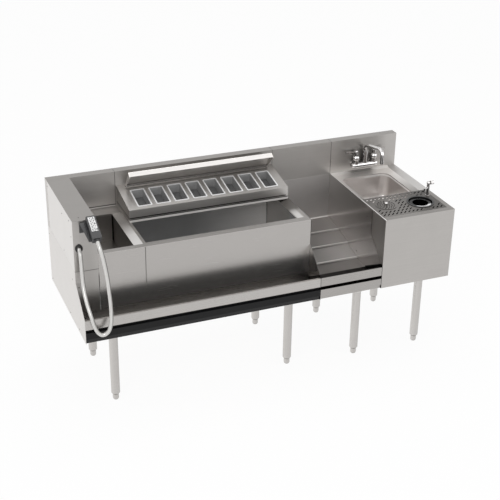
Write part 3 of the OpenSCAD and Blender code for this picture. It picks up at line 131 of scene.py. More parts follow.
class Graph:
    """The nodes of a material or world, with short ways to add and join them."""

    def __init__(self, owner: bpy.types.ID) -> None:
        """Turns on the owner's nodes and empties them."""
        owner.use_nodes = True
        self.tree = owner.node_tree
        self.tree.nodes.clear()

    def add(self, kind: str, **settings: object) -> Node:
        """Adds a shader node of a kind and sets its plain properties."""
        node = self.tree.nodes.new("ShaderNode" + kind)
        for key, value in settings.items():
            setattr(node, key, value)
        return node

    def feed(self, target: Socket, value: object) -> None:
        """Links a socket's value into an input, or writes a plain value there."""
        if isinstance(value, Socket):
            self.tree.links.new(value, target)
        elif isinstance(value, tuple) and len(value) == 3 and target.type == "RGBA":
            target.default_value = (*value, 1.0)
        else:
            target.default_value = value

    def give(self, node: Node, values: dict[str | int, object]) -> Node:
        """Feeds several inputs of a node, each by its name or number, and returns the node."""
        for key, value in values.items():
            self.feed(node.inputs[key], value)
        return node

    def maths(self, operation: str, first: object, second: object) -> Socket:
        """Adds a Math node on two values and returns its output."""
        return self.give(self.add("Math", operation=operation), {0: first, 1: second}).outputs[0]

    def times(self, first: object, second: object) -> Socket:
        """Multiplies two numbers."""
        return self.maths("MULTIPLY", first, second)

    def vector(self, operation: str, output: str, values: dict[str | int, object]) -> Socket:
        """Adds a Vector Math node and returns one of its outputs."""
        return self.give(self.add("VectorMath", operation=operation), values).outputs[output]

    def scaled(self, vector: object, factor: object) -> Socket:
        """Multiplies a vector or colour by one number."""
        return self.vector("SCALE", "Vector", {0: vector, "Scale": factor})

    def split(self, vector: Socket) -> tuple[Socket, ...]:
        """Splits a vector into its shares along X, Y and Z."""
        return tuple(self.give(self.add("SeparateXYZ"), {"Vector": vector}).outputs)

    def blend(self, factor: object, low: object, high: object) -> Socket:
        """Mixes two colours by a factor from 0 to 1."""
        node = self.add("Mix", data_type="RGBA")
        return self.give(node, {"Factor": factor, 6: low, 7: high}).outputs[2]

    def ramp(self, value: object, low: float, high: float, out_low: float, out_high: float) -> Socket:
        """Maps a value from one range to another in a straight line, clamped at both ends."""
        spans = {"From Min": low, "From Max": high, "To Min": out_low, "To Max": out_high}
        return self.give(self.add("MapRange", clamp=True), {"Value": value, **spans}).outputs["Result"]

    def glow(self, kind: str, strength: float) -> Socket:
        """Adds a white emitter or background and returns its output."""
        return self.give(self.add(kind), {"Color": WHITE, "Strength": strength}).outputs[0]

    def mix_out(self, kind: str, share: Socket, first: Socket, second: Socket) -> None:
        """Mixes two shaders, by the second one's share, into a new output of a kind."""
        mix = self.give(self.add("MixShader"), {0: share, 1: first, 2: second})
        self.give(self.add(kind), {"Surface": mix.outputs[0]})


class Shader(Graph):
    """The graph of a surface's material, with noise and bump on the object's coordinates."""

    def __init__(self, name: str) -> None:
        """Starts a material with its output and its surface shader."""
        self.material = bpy.data.materials.new(name)
        super().__init__(self.material)
        self.surface = self.add("BsdfPrincipled")
        self.give(self.add("OutputMaterial"), {"Surface": self.surface.outputs["BSDF"]})
        self.places = self.add("TexCoord").outputs

    def noise(self, stretch: Point, detail: float = 2.0) -> Socket:
        """Adds noise on object coordinates, with its own scale along each axis.

        Args:
            stretch: Grains per metre along X, Y and Z.
            detail: Number of finer layers.

        Returns:
            The noise value, from 0 to 1 around a half.
        """
        mapping = self.give(self.add("Mapping"), {"Scale": stretch, "Vector": self.places["Object"]})
        values = {"Scale": 1.0, "Detail": detail, "Vector": mapping.outputs["Vector"]}
        return self.give(self.add("TexNoise"), values).outputs["Fac"]

    def swing(self, noise: Socket, middle: float, reach: float) -> Socket:
        """Maps noise to a middle value, as far below it as above it."""
        return self.ramp(noise, *NOISE_SPAN, middle - reach, middle + reach)

    def bump(self, height: Socket, strength: float, depth: float) -> Socket:
        """Turns a height into a bumped normal, of a strength and a depth in metres."""
        values = {"Strength": strength, "Distance": depth, "Height": height}
        return self.give(self.add("Bump"), values).outputs["Normal"]


@dataclass(frozen=True)
class Tones:
    """The painted tone of a sheet on each of the sides it can face: lighter or darker by how the light
    falls on that side.
    """

    top: Colour
    front: Colour
    left: Colour
    right: Colour
    back: Colour
    under: Colour


def tones(
    top: float, front: float, left: float, right: float, back: float = 140, under: float = 90,
    warmth: float = 3.0, cool: Optional[float] = None,
) -> Tones:
    """Makes a set of slightly warm greys from screen greys.

    Args:
        top, front, left, right, back, under: Screen grey painted on each side, from 0 to 255, as light or
            shade falls there.
        warmth: How far red lies above the grey.
        cool: How far blue lies below the grey, as far as red lies above it if not given.

    Returns:
        The six tones in linear light.
    """
    fall = warmth if cool is None else cool
    greys = [screen(g + warmth, g, g - fall) for g in (top, front, left, right, back, under)]
    return Tones(*greys)


def even(grey: float, warmth: float = 2.0) -> Tones:
    """Makes a set whose six sides share one screen grey."""
    return tones(grey, grey, grey, grey, grey, grey, warmth)


@dataclass(frozen=True)
class Zone:
    """A stretch of a sheet that has tones of its own: painted shade in a fold or corner, a painted band
    of light, a painted highlight on an edge, a dark seam.

    Attributes:
        x, y, z: How far it reaches along each axis.
        fade_x, fade_y, fade_z: The width over which it fades out beyond its ends.
        matte: How much less of a mirror it is than the sheet round it, from 0 to 1.
        rise: How far its heights climb for each metre to the back.
    """

    tones: Tones
    x: Span = ANYWHERE
    y: Span = ANYWHERE
    z: Span = ANYWHERE
    fade_x: float = 0.001
    fade_y: float = 0.001
    fade_z: float = 0.001
    matte: float = 0.0
    rise: float = 0.0

    def share(self, shader: Shader, places: Sequence[Socket]) -> object:
        """Multiplies one ramp for each end of the zone.

        Args:
            shader: The graph it is added to.
            places: The place on the object along X, Y and Z.

        Returns:
            1 inside the zone and 0 beyond its fading edges.
        """
        total: object = 1.0
        x, y, z = places
        if self.rise:
            z = shader.maths("SUBTRACT", z, shader.times(y, self.rise))
        ends = ((x, self.x, self.fade_x), (y, self.y, self.fade_y), (z, self.z, self.fade_z))
        for place, (low, high), fade in ends:
            if low > ANYWHERE[0]:
                total = shader.times(total, shader.ramp(place, low - fade, low, 0.0, 1.0))
            if high < ANYWHERE[1]:
                total = shader.times(total, shader.ramp(place, high, high + fade, 1.0, 0.0))
        return total


@dataclass(frozen=True)
class BrushedSheet:
    """Brushed stainless sheet: a metal with painted light and shade, with fine grain along its length and
    a faint mottle.

    Attributes:
        name, tones, roughness: The material's name, its painted tone on each side by how the light falls
            there, and its middle roughness.
        slant_highlight: A painted highlight whose top tone shows only where the flat face leans a little
            to the left.
        inner, inner_normal, inner_level: The painted light and shade under a plane, its normal and how
            far out it lies.
        inner_mirror, inner_fade: How far it is a mirror there, and the depth that all fades in over.
        far, far_span: The painted light at the back, and the Y span over which it takes over.
        zones: Stretches with tones of their own, each laid over the last: painted shade, painted
            highlights and dark seams.
        matte: How far the whole sheet is from a mirror, from 0 to 1.
        lean_deg: The turn about X that brings a leaning piece's sides square to the axes.
        grain, bump, bump_depth, mottle: How strongly the brushing, its relief and the clouds show.
    """

    name: str
    tones: Tones
    roughness: float = 0.33
    slant_highlight: Optional[Zone] = None
    inner: Optional[Tones] = None
    inner_normal: Point = (0.0, 0.0, 1.0)
    inner_level: float = 0.0
    inner_mirror: float = 1.0
    inner_fade: float = 0.0015
    far: Optional[Tones] = None
    far_span: Span = (0.1, 0.26)
    zones: tuple[Zone, ...] = ()
    matte: float = 0.0
    lean_deg: float = 0.0
    grain: float = 0.025
    bump: float = 0.012
    bump_depth: float = 0.0003
    mottle: float = 0.012

    def by_side(self, shader: Shader, axes: Sequence[Socket], over: Tones) -> Socket:
        """Adds up the six painted side tones, each weighed by the square of the normal's share along its
        axis.

        The squares of a unit normal's shares add up to 1, so the tone passes smoothly round a bend.
        """
        total = None
        pairs = ((over.left, over.right), (over.front, over.back), (over.under, over.top))
        for share, (low, high) in zip(axes, pairs):
            side = shader.maths("GREATER_THAN", share, 0.0)
            square = shader.times(share, share)
            part = shader.scaled(shader.blend(side, low, high), square)
            total = part if total is None else shader.vector("ADD", "Vector", {0: total, 1: part})
        return total

    def toned(self, shader: Shader, axes: Sequence[Socket]) -> tuple[Socket, object]:
        """Lays the painted light and shade over one another: by side, at the back, inside, in each zone,
        and the painted highlight on leaning faces.

        Args:
            shader: The graph they are added to.
            axes: The normal's shares along X, Y and Z.

        Returns:
            The colour, and how far the sheet is a mirror, from 0 to 1.
        """
        places = shader.split(shader.places["Object"])
        # Painted light and shade by side.
        colour = self.by_side(shader, axes, self.tones)
        mirror: object = 1.0 - self.matte
        # Painted light at the back.
        if self.far is not None:
            back = shader.ramp(places[1], *self.far_span, 0.0, 1.0)
            colour = shader.blend(back, colour, self.by_side(shader, axes, self.far))
        # Painted light and shade inside, under a plane.
        if self.inner is not None:
            sides = {0: shader.places["Object"], 1: self.inner_normal}
            height = shader.vector("DOT_PRODUCT", "Value", sides)
            start = self.inner_level - self.inner_fade
            depth = shader.ramp(height, start, self.inner_level, 1.0, 0.0)
            colour = shader.blend(depth, colour, self.by_side(shader, axes, self.inner))
            gleam = shader.times(depth, self.inner_mirror - mirror)
            mirror = shader.maths("ADD", gleam, mirror)
        # Painted shade and highlights in each zone, and dark seams.
        for zone in self.zones:
            share = zone.share(shader, places)
            colour = shader.blend(share, colour, self.by_side(shader, axes, zone.tones))
            if zone.matte:
                dulled = shader.times(share, zone.matte)
                mirror = shader.times(mirror, shader.maths("SUBTRACT", 1.0, dulled))
        # Painted highlight where a flat face leans a little to the left.
        if self.slant_highlight is not None:
            tilt = shader.ramp(axes[0], *LEANS_LEFT, 1.0, 0.0)
            level = shader.ramp(axes[2], *LIES_FLAT, 0.0, 1.0)
            leaning = shader.times(tilt, level)
            highlight_streak = shader.times(leaning, self.slant_highlight.share(shader, places))
            colour = shader.blend(highlight_streak, colour, self.slant_highlight.tones.top)
        return colour, mirror

    def brushing(self, shader: Shader, sideways: Socket) -> Socket:
        """Adds the brushed lines: along X, but along Y where the normal's share along X is large."""
        along = shader.noise((GRAINS_ALONG, GRAINS_ACROSS, GRAINS_ACROSS), detail=3.0)
        across = shader.noise((GRAINS_ACROSS, GRAINS_ALONG, GRAINS_ACROSS), detail=3.0)
        lines = shader.add("Mix", data_type="FLOAT")
        values = {"Factor": shader.times(sideways, sideways), 2: along, 3: across}
        return shader.give(lines, values).outputs[0]

    def material(self) -> Material:
        """Builds the finish: its tones, then grain, mottle, roughness and a faint bump."""
        shader = Shader(self.name)
        lean = (math.radians(self.lean_deg), 0.0, 0.0)
        turned = shader.add("Mapping", vector_type="VECTOR")
        shader.give(turned, {"Rotation": lean, "Vector": shader.places["Normal"]})
        axes = shader.split(turned.outputs["Vector"])
        colour, mirror = self.toned(shader, axes)
        lines = self.brushing(shader, axes[0])
        clouds = shader.noise((CLOUDS, CLOUDS, CLOUDS))
        shade = shader.times(shader.swing(lines, 1.0, self.grain), shader.swing(clouds, 1.0, self.mottle))
        shader.give(shader.surface, {
            "Base Color": shader.scaled(colour, shade),
            "Metallic": mirror,
            "Roughness": shader.swing(lines, self.roughness, self.grain),
            "Normal": shader.bump(lines, self.bump, self.bump_depth),
        })
        return shader.material


@dataclass(frozen=True)
class BrightMetal:
    """Polished chrome: painted reflections, bands of light and dark by how far a surface leans up, as a
    bright studio mirrors in it.
    """

    name: str
    roughness: Span = (0.11, 0.17)
    wear: Span = (0.96, 1.03)
    wear_scale: float = 160.0
    haze_scale: float = 300.0
    # Painted reflection bands: screen grey at each share of the normal's height, from facing down to
    # facing up.
    reflection_stops: tuple[Span, ...] = (
        (0.0, 120.0), (0.25, 175.0), (0.42, 225.0), (0.5, 165.0), (0.56, 125.0),
        (0.66, 232.0), (0.78, 248.0), (0.86, 175.0), (1.0, 205.0),
    )

    def material(self) -> Material:
        """Builds the finish from a colour ramp of painted reflections over the normal's height, with
        faint wear.
        """
        shader = Shader(self.name)
        rise = shader.split(shader.places["Normal"])[2]
        bands = shader.add("ValToRGB")
        elements = bands.color_ramp.elements
        while len(elements) < len(self.reflection_stops):
            elements.new(0.5)
        for element, (place, grey) in zip(elements, self.reflection_stops):
            element.position = place
            element.color = (*screen(grey + 2, grey, grey - 1), 1.0)
        shader.give(bands, {"Fac": shader.ramp(rise, -1.0, 1.0, 0.0, 1.0)})
        worn = shader.ramp(shader.noise((self.wear_scale,) * 3), *NOISE_SPAN, *self.wear)
        hazed = shader.ramp(shader.noise((self.haze_scale,) * 3), *NOISE_SPAN, *self.roughness)
        colour = shader.scaled(bands.outputs["Color"], worn)
        shader.give(shader.surface, {"Base Color": colour, "Metallic": 1.0, "Roughness": hazed})
        return shader.material


@dataclass(frozen=True)
class Moulding:
    """Moulded or coated plastic: one colour with a fine speckle, a soft gloss and a pebbled bump."""

    name: str
    tone: Colour
    roughness: float = 0.4
    speckle: float = 0.12
    coat: float = 0.0
    gloss: float = 0.5
    pebble: float = 0.15
    pebble_depth: float = 0.0002
    stain_scale: float = 25.0
    stain: float = 0.05

    def material(self) -> Material:
        """Builds the finish from two scales of noise."""
        shader = Shader(self.name)
        fine = shader.noise((SPECKS, SPECKS, SPECKS))
        broad = shader.noise((self.stain_scale,) * 3)
        shade = shader.times(shader.swing(fine, 1.0, self.speckle), shader.swing(broad, 1.0, self.stain))
        shader.give(shader.surface, {
            "Base Color": shader.scaled(self.tone, shade),
            "Roughness": shader.swing(broad, self.roughness, self.stain),
            "Coat Weight": self.coat,
            "Specular IOR Level": self.gloss,
            "Normal": shader.bump(fine, self.pebble, self.pebble_depth),
        })
        return shader.material


@dataclass(frozen=True)
class HoseSkin:
    """Clear sheath over a bundle of tubes: pale, glossy, with painted shade on its right side, and
    winding lines.
    """

    name: str
    light: Colour = screen(232, 231, 228)
    line: Colour = screen(190, 188, 185)
    shaded: Colour = screen(100, 98, 95)
    wind_deg: float = 12.0
    line_scale: Point = (6.0, 9.0, 1.0)

    def material(self) -> Material:
        """Builds the finish on the hose's own map: U round the hose, V along it in metres."""
        shader = Shader(self.name)
        wind = (0.0, 0.0, math.radians(self.wind_deg))
        mapping = shader.add("Mapping")
        shader.give(mapping, {"Rotation": wind, "Scale": self.line_scale, "Vector": shader.places["UV"]})
        waves = shader.add("TexWave", wave_type="BANDS", bands_direction="X")
        shader.give(waves, {"Scale": 0.5, "Distortion": 0.6, "Vector": mapping.outputs["Vector"]})
        wave = waves.outputs["Fac"]
        colour = shader.blend(shader.ramp(wave, 0.2, 0.9, 0.0, 1.0), self.line, self.light)
        # Painted shade on the hose's side that faces right.
        shaded_share = shader.ramp(shader.split(shader.places["Normal"])[0], 0.0, 0.75, 0.0, 1.0)
        shader.give(shader.surface, {
            "Base Color": shader.blend(shaded_share, colour, self.shaded),
            "Metallic": 0.35,
            "Roughness": shader.ramp(wave, 0.0, 1.0, 0.3, 0.2),
            "Coat Weight": 0.8,
            "Coat Roughness": 0.08,
        })
        return shader.material


def dress(finish: BrushedSheet | BrightMetal | Moulding, *names: str) -> None:
    """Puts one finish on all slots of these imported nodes."""
    material = finish.material()
    for name in names:
        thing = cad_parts[name]
        if not thing.material_slots:
            thing.data.materials.append(material)
        for place in thing.material_slots:
            place.material = material
        LOG.info("dressed %s in %s", name, material.name)


def surface_piece(name: str, grid: np.ndarray, material: Material, caps: bool) -> bpy.types.Object:
    """Makes a piece from a grid of points, a closed row of points for each ring.

    Args:
        name: The piece's name.
        grid: Points of shape (rings, around, 3).
        material: Its finish.
        caps: Whether the first and last rings are filled.

    Returns:
        The new object. Its map holds the share round a ring and the metres along the middle.
    """
    rings, around = grid.shape[:2]
    i, k = np.meshgrid(np.arange(rings - 1), np.arange(around), indexing="ij")
    after = (k + 1) % around
    row, next_row = i * around, (i + 1) * around
    faces = np.stack([row + k, row + after, next_row + after, next_row + k], -1)
    polygons = faces.reshape(-1, 4).tolist()
    if caps:
        polygons.append(list(range(around))[::-1])
        polygons.append(list(range((rings - 1) * around, rings * around)))
    mesh = bpy.data.meshes.new(name)
    mesh.from_pydata(grid.reshape(-1, 3).tolist(), [], polygons)
    middle = grid.mean(axis=1)
    run = np.concatenate([[0.0], np.cumsum(np.linalg.norm(np.diff(middle, axis=0), axis=1))])
    turns = np.stack([k, k + 1, k + 1, k], -1) / around
    along = np.stack([run[i], run[i], run[i + 1], run[i + 1]], -1)
    layer = np.zeros((len(mesh.loops), 2))
    layer[: turns.size] = np.stack([turns.ravel(), along.ravel()], -1)
    mesh.uv_layers.new(name="UVMap").data.foreach_set("uv", layer.ravel())
    mesh.polygons.foreach_set("use_smooth", [True] * len(mesh.polygons))
    mesh.materials.append(material)
    mesh.validate()
    return placed(name, mesh)


@dataclass
class Studio:
    """Camera, floor, lamps and world."""

    eye: Point = (-1.8514, -4.4406, 2.9645)
    ahead: Point = (0.34209633, 0.82527921, -0.4493154)
    roll_deg: float = 0.91
    lens_mm: float = 80.14
    sensor_mm: float = 36.0
    sight: float = 60.0
    soft_light: float = 0.62
    floor_reach: float = 14.0
    floor_glow: float = 0.94
    lamps: tuple[tuple[str, Point, float, float], ...] = (
        ("key", (-3.2, -3.4, 3.6), 2.6, 60.0),
        ("fill", (3.4, -2.6, 2.8), 2.6, 26.0),
        ("top", (0.0, 0.6, 4.2), 3.0, 30.0),
    )
    lit_point: Point = (0.0, 0.0, 0.6)

    def camera(self) -> None:
        """Sets the camera at the photograph's place, turned about its own line of sight by the roll."""
        data = bpy.data.cameras.new("camera")
        data.lens = self.lens_mm
        data.sensor_width = self.sensor_mm
        data.clip_end = self.sight
        camera = placed("camera", data)
        level = Vector(self.ahead).to_track_quat("-Z", "Y").to_matrix()
        roll = Matrix.Rotation(math.radians(self.roll_deg), 3, "Z")
        camera.matrix_world = Matrix.LocRotScale(Vector(self.eye), level @ roll, None)
        bpy.context.scene.camera = camera
        LOG.info("camera placed")

    def shown_white(self, graph: Graph) -> Socket:
        """Tests for rays that see the background: from the camera, off gloss or through glass."""
        rays = graph.add("LightPath").outputs
        mirrored = graph.maths("MAXIMUM", rays["Is Camera Ray"], rays["Is Glossy Ray"])
        return graph.maths("MAXIMUM", mirrored, rays["Is Transmission Ray"])

    def world(self) -> None:
        """Gives a soft grey light from all round, and plain white where the background shows."""
        world = bpy.data.worlds.new("studio")
        bpy.context.scene.world = world
        graph = Graph(world)
        soft, white = (graph.glow("Background", strength) for strength in (self.soft_light, 1.0))
        graph.mix_out("OutputWorld", self.shown_white(graph), soft, white)

    def floor(self) -> None:
        """Lays a wide pale floor that keeps the object's shadow and shows as white off metal."""
        far = self.floor_reach
        corners = [(-far, -far, 0.0), (far, -far, 0.0), (far, far, 0.0), (-far, far, 0.0)]
        mesh = bpy.data.meshes.new("floor")
        mesh.from_pydata(corners, [], [(0, 1, 2, 3)])
        material = bpy.data.materials.new("pale_floor")
        graph = Graph(material)
        paper = graph.give(graph.add("BsdfDiffuse"), {"Color": WHITE}).outputs[0]
        share = graph.times(self.shown_white(graph), self.floor_glow)
        graph.mix_out("OutputMaterial", share, paper, graph.glow("Emission", 1.0))
        mesh.materials.append(material)
        placed("floor", mesh)

    def lamp(self, name: str, place: Point, size: float, power: float) -> None:
        """Hangs one soft square lamp that faces the lit point."""
        data = bpy.data.lights.new(name, "AREA")
        data.shape = "SQUARE"
        data.size = size
        data.energy = power
        lamp = placed(name, data)
        lamp.location = place
        ahead = Vector(self.lit_point) - Vector(place)
        lamp.rotation_euler = ahead.to_track_quat("-Z", "Y").to_euler()

    def build(self) -> None:
        """Builds the floor, the world and the lamps."""
        self.floor()
        self.world()
        for row in self.lamps:
            self.lamp(*row)
        LOG.info("studio built")


def turn(steps: int) -> np.ndarray:
    """The angles of a number of even steps round a circle."""
    return np.linspace(0.0, 2.0 * np.pi, steps, endpoint=False)


@dataclass
class SodaHose:
    """The hose that hangs in a loop from the box's gland to the soda gun."""

    diameter: float = 0.018
    sides: int = 28
    steps: int = 9
    gland: Point = (-0.8905, -0.203607, 0.789393)
    cuff: Point = (-0.837, -0.318348, 0.880365)
    route: tuple[Point, ...] = (
        (-0.8905, -0.212, 0.781), (-0.891, -0.218, 0.770), (-0.891, -0.221, 0.756),
        (-0.891, -0.224, 0.730), (-0.891, -0.229, 0.700), (-0.892, -0.240, 0.660),
        (-0.893, -0.260, 0.620), (-0.892, -0.286, 0.585), (-0.889, -0.314, 0.555),
        (-0.884, -0.334, 0.525), (-0.879, -0.344, 0.498), (-0.872, -0.351, 0.476),
        (-0.862, -0.356, 0.459), (-0.848, -0.360, 0.450), (-0.833, -0.363, 0.454),
        (-0.820, -0.366, 0.468), (-0.812, -0.368, 0.490), (-0.808, -0.370, 0.520),
        (-0.807, -0.371, 0.560), (-0.808, -0.371, 0.610), (-0.811, -0.370, 0.660),
        (-0.814, -0.368, 0.710), (-0.819, -0.365, 0.758), (-0.824, -0.362, 0.796),
        (-0.828, -0.357, 0.824), (-0.832, -0.350, 0.846), (-0.835, -0.342, 0.861),
        (-0.836, -0.335, 0.869), (-0.837, -0.328, 0.875),
    )
    off_route: Point = (0.0, 1.0, 0.3)
    gland_slope_deg: float = 45.0
    panel_y: float = -0.193
    ring_radius: float = 0.0135
    ring_thickness: float = 0.0034
    ring_height: float = 1.15
    ring_steps: int = 40
    ring_sides: int = 16
    stub_rings: int = 6
    stub_share: float = 0.99

    def curve(self) -> np.ndarray:
        """Carries a smooth curve through the route.

        Returns:
            Points of a cubic through each stretch. Its slope at a route point is half the step between
            the neighbours: (2t3 - 3t2 + 1)a + (t3 - 2t2 + t)da + (3t2 - 2t3)b + (t3 - t2)db.
        """
        points = np.array([self.gland, *self.route, self.cuff])
        before = np.vstack([points[:1], points[:-1]])
        after = np.vstack([points[1:], points[-1:]])
        slope = (after - before) / 2.0
        slope[0] *= 2.0
        slope[-1] *= 2.0
        t = np.linspace(0.0, 1.0, self.steps, endpoint=False)[None, :, None]
        a, b = points[:-1, None], points[1:, None]
        da, db = slope[:-1, None], slope[1:, None]
        from_a = (2 * t**3 - 3 * t**2 + 1) * a + (t**3 - 2 * t**2 + t) * da
        to_b = (3 * t**2 - 2 * t**3) * b + (t**3 - t**2) * db
        return np.vstack([(from_a + to_b).reshape(-1, 3), points[-1:]])

    def gland_pieces(self, rubber: Material, skin: Material) -> None:
        """Makes the gland's ring on the panel and the short stretch of hose that comes through it.

        The ring is a circle turned about the hole's own axis. The stretch follows the gland's slope to
        where the hanging hose begins.
        """
        around = turn(self.ring_steps)[:, None]
        section = turn(self.ring_sides)[None, :]
        end = np.array(self.gland)
        slope = math.radians(self.gland_slope_deg)
        back = np.array([0.0, math.cos(slope), math.sin(slope)])
        reach = (self.panel_y - end[1]) / back[1]
        hole = end + back * reach
        out = self.ring_radius + self.ring_thickness * np.cos(section)
        ring = np.stack(
            np.broadcast_arrays(
                hole[0] + out * np.cos(around),
                hole[1] - self.ring_thickness * (1.0 + np.sin(section)),
                hole[2] + out * np.sin(around) * self.ring_height,
            ),
            -1,
        )
        ring = np.concatenate([ring, ring[:1]])
        piece = surface_piece("gland_ring", ring, rubber, caps=False)
        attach(piece, Body.STATION.value)
        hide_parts("hose_grommet")
        side = np.array([1.0, 0.0, 0.0])
        up = np.cross(back, side)
        radius = self.stub_share * self.diameter / 2.0
        angle = turn(self.sides)[None, :, None]
        places = np.linspace(0.0, reach, self.stub_rings)[:, None, None]
        tube = end + places * back + radius * (np.cos(angle) * side + np.sin(angle) * up)
        stub = surface_piece("gland_stub", tube, skin, caps=True)
        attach(stub, Body.STATION.value)
        LOG.info("gland built")

    def build(self, finish: HoseSkin, rubber: Moulding) -> None:
        middle = self.curve()
        ahead = np.gradient(middle, axis=0)
        ahead /= np.linalg.norm(ahead, axis=1, keepdims=True)
        side = np.cross(ahead, np.array(self.off_route))
        side /= np.linalg.norm(side, axis=1, keepdims=True)
        up = np.cross(ahead, side)
        angle = turn(self.sides)[None, :, None]
        circles = np.cos(angle) * side[:, None] + np.sin(angle) * up[:, None]
        rings = middle[:, None] + self.diameter / 2.0 * circles
        skin = finish.material()
        hose = surface_piece("hanging_hose", rings, skin, caps=True)
        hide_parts("soda_hose")
        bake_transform(hose)
        self.gland_pieces(rubber.material(), skin)


@dataclass
class PanelWork:
    """The sheet panels, each with painted tones for its sides by how the light falls on them."""

    # Painted light and shade: each side's screen grey is set by how the light falls on that side.
    cover: Tones = tones(146, 173, 218, 190)
    end: Tones = tones(190, 190, 218, 120)
    apron: Tones = tones(140, 175, 180, 120)
    splash: Tones = tones(148, 178, 200, 160)
    # Painted shadows of the rack and of the tap on the backsplash.
    splash_rack_shadow: Tones = tones(148, 152, 200, 160)
    splash_tap_shadow: Tones = tones(148, 156, 200, 160)
    deck: Tones = tones(150, 190, 190, 170)
    # Painted light on the back of the decks, and painted shade on the bin's right band.
    far_deck: Tones = tones(186, 190, 190, 170)
    bin_band: Tones = tones(98, 190, 190, 170)
    # Painted light and shade inside the bin and the well.
    dark_bin: Tones = tones(190, 186, 206, 200, 205, 90, 0.0)
    bright_bin: Tones = tones(200, 226, 206, 200)
    dark_well: Tones = tones(140, 172, 150, 154, 154)
    steps: Tones = tones(152, 196, 190, 186, 180, 90, 3.0, 2.0)
    ends: Tones = tones(150, 30, 205, 205, 60, 90, 3.0, 2.0)
    rail: Tones = tones(200, 182, 120, 120, 110, 60)
    step_rail: Tones = tones(190, 166, 120, 120, 110, 160)
    cabinet: Tones = tones(150, 179, 196, 170)
    leg: Tones = tones(185, 190, 205, 178)
    rear: Tones = tones(110, 120, 120, 110)
    under_frame: Tones = tones(225, 225, 190, 190, 150, 110)
    screw: Tones = tones(60, 60, 90, 60)
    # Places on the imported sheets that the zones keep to.
    bin_back_y: float = 0.2085
    bin_corner_x: float = 0.1625
    bin_light_x: float = 0.13
    shaded_z: float = 0.80
    behind_rack_x: Span = (-0.15, 0.16)
    behind_tap_x: Span = (0.62, 0.80)
    fold_z: Span = (0.7620, 0.7645)
    strip_top: float = 0.7590
    apron_bend_z: Span = (0.49, 0.548)
    low_seam_top: float = 0.65
    back_step: float = 0.519
    back_step_y: float = 0.272
    trough_z: float = 0.44
    recess_z: Span = (0.4488, 0.4656)
    # Y and Z of each tread's upper front edge, back to front.
    tread_edges: tuple[Span, ...] = ((0.1441, 0.5069), (0.0380, 0.4792), (-0.0657, 0.4446))
    foot_shade: Zone = Zone(
        even(24), y=(-0.34, -0.16), z=below(0.352), fade_y=0.004, fade_z=0.002, rise=-0.545
    )

    def well(self) -> BrushedSheet:
        """The well's deck and liner: a painted highlight on the front of its right band, and painted
        shade in its far corner.
        """
        right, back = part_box("well_liner")[1].xy
        # Painted shade in the far corner of the well.
        corner = Zone(even(34), x=(right - 0.0445, right - 0.038), y=(back - 0.089, back), z=BASIN)
        # Painted highlight on the front of the leaning right band.
        highlight_streak = Zone(even(212), y=(-0.30, -0.05), fade_y=0.13)
        return BrushedSheet(
            "well_sheet", self.deck, slant_highlight=highlight_streak, inner=self.dark_well, inner_level=BASIN[1],
            far=self.far_deck, zones=(corner,),
        )

    def bin(self) -> BrushedSheet:
        """The bin's deck and liner: painted light on its back wall that grows rightwards, painted shade
        on its right band and far corner, and a painted highlight on that band.
        """
        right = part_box("bin_liner")[1].x
        x, y = above(self.bin_light_x), above(self.bin_back_y + 0.001)
        # Painted light on the back wall, growing to the right.
        light = Zone(self.bright_bin, x=x, y=y, z=BASIN, fade_x=0.36, matte=0.75)
        # Painted shade in the far right corner.
        corner = Zone(even(44), x=above(self.bin_corner_x), y=above(self.bin_back_y), z=BASIN)
        # Painted shade on the right band.
        band = Zone(self.bin_band, x=above(right - 0.050), y=above(-0.045), fade_x=0.004, fade_y=0.03)
        middle = (right - 0.042, right - 0.022)
        # Painted highlight along the middle of the right band.
        highlight_streak = Zone(even(206), x=middle, y=(-0.19, -0.10), fade_x=0.008, fade_y=0.065)
        return BrushedSheet(
            "bin_sheet", self.deck, slant_highlight=highlight_streak, inner=self.dark_bin, inner_level=BASIN[1],
            far=self.far_deck, zones=(light, corner, band),
        )

    def seam(self, x: float, grey: float, top: float, matte: float) -> Zone:
        """A dark seam between two front panels, up to a height."""
        span = near(x, 0.0016, 0.0014)
        return Zone(even(grey), x=span, z=below(top), fade_x=0.0006, fade_z=0.02, matte=matte)

    def box_sheet(self) -> BrushedSheet:
        """The gun box's cover and lower panel: dark seams at their right edge and between the two."""
        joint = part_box("gun_box_lower_panel")[1].z
        level = Zone(even(122), y=below(-0.18), z=near(joint, 0.0014, 0.0014), matte=0.4)
        side = self.seam(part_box("well_apron")[0].x, grey=46, top=self.low_seam_top, matte=1.0)
        return BrushedSheet("cover_sheet", self.cover, zones=(side, level), bump=0.006)

    def splash_sheet(self) -> BrushedSheet:
        """The backsplash: painted shadows behind rack and tap, painted shade in a fold behind the well
        with a painted highlight under it, and fine seams.
        """
        upper = above(self.shaded_z)
        # Painted shadows of the rack and the tap.
        rack = Zone(self.splash_rack_shadow, x=self.behind_rack_x, z=upper, fade_x=0.25, fade_z=0.05)
        tap = Zone(self.splash_tap_shadow, x=self.behind_tap_x, z=upper, fade_x=0.06, fade_z=0.05)
        left, right = (corner.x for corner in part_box("well_liner"))
        # Painted shade in the fold, and a painted highlight on the strip under it.
        fold = Zone(even(84), x=(left, right), z=self.fold_z, fade_x=0.004, fade_z=0.003)
        strip = Zone(even(205), x=(left, right), z=below(self.strip_top), fade_x=0.004, fade_z=0.002)
        bin_left, bin_right = (corner.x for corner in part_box("bin_apron"))
        seams = [
            Zone(even(126), x=near(x, 0.0012, 0.0012), z=above(WORK_Z), fade_x=0.0008)
            for x in (bin_left, bin_right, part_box("sink_cabinet")[0].x)
        ]
        zones = (rack, tap, fold, strip, *seams)
        return BrushedSheet("splash_sheet", self.splash, roughness=0.42, zones=zones)

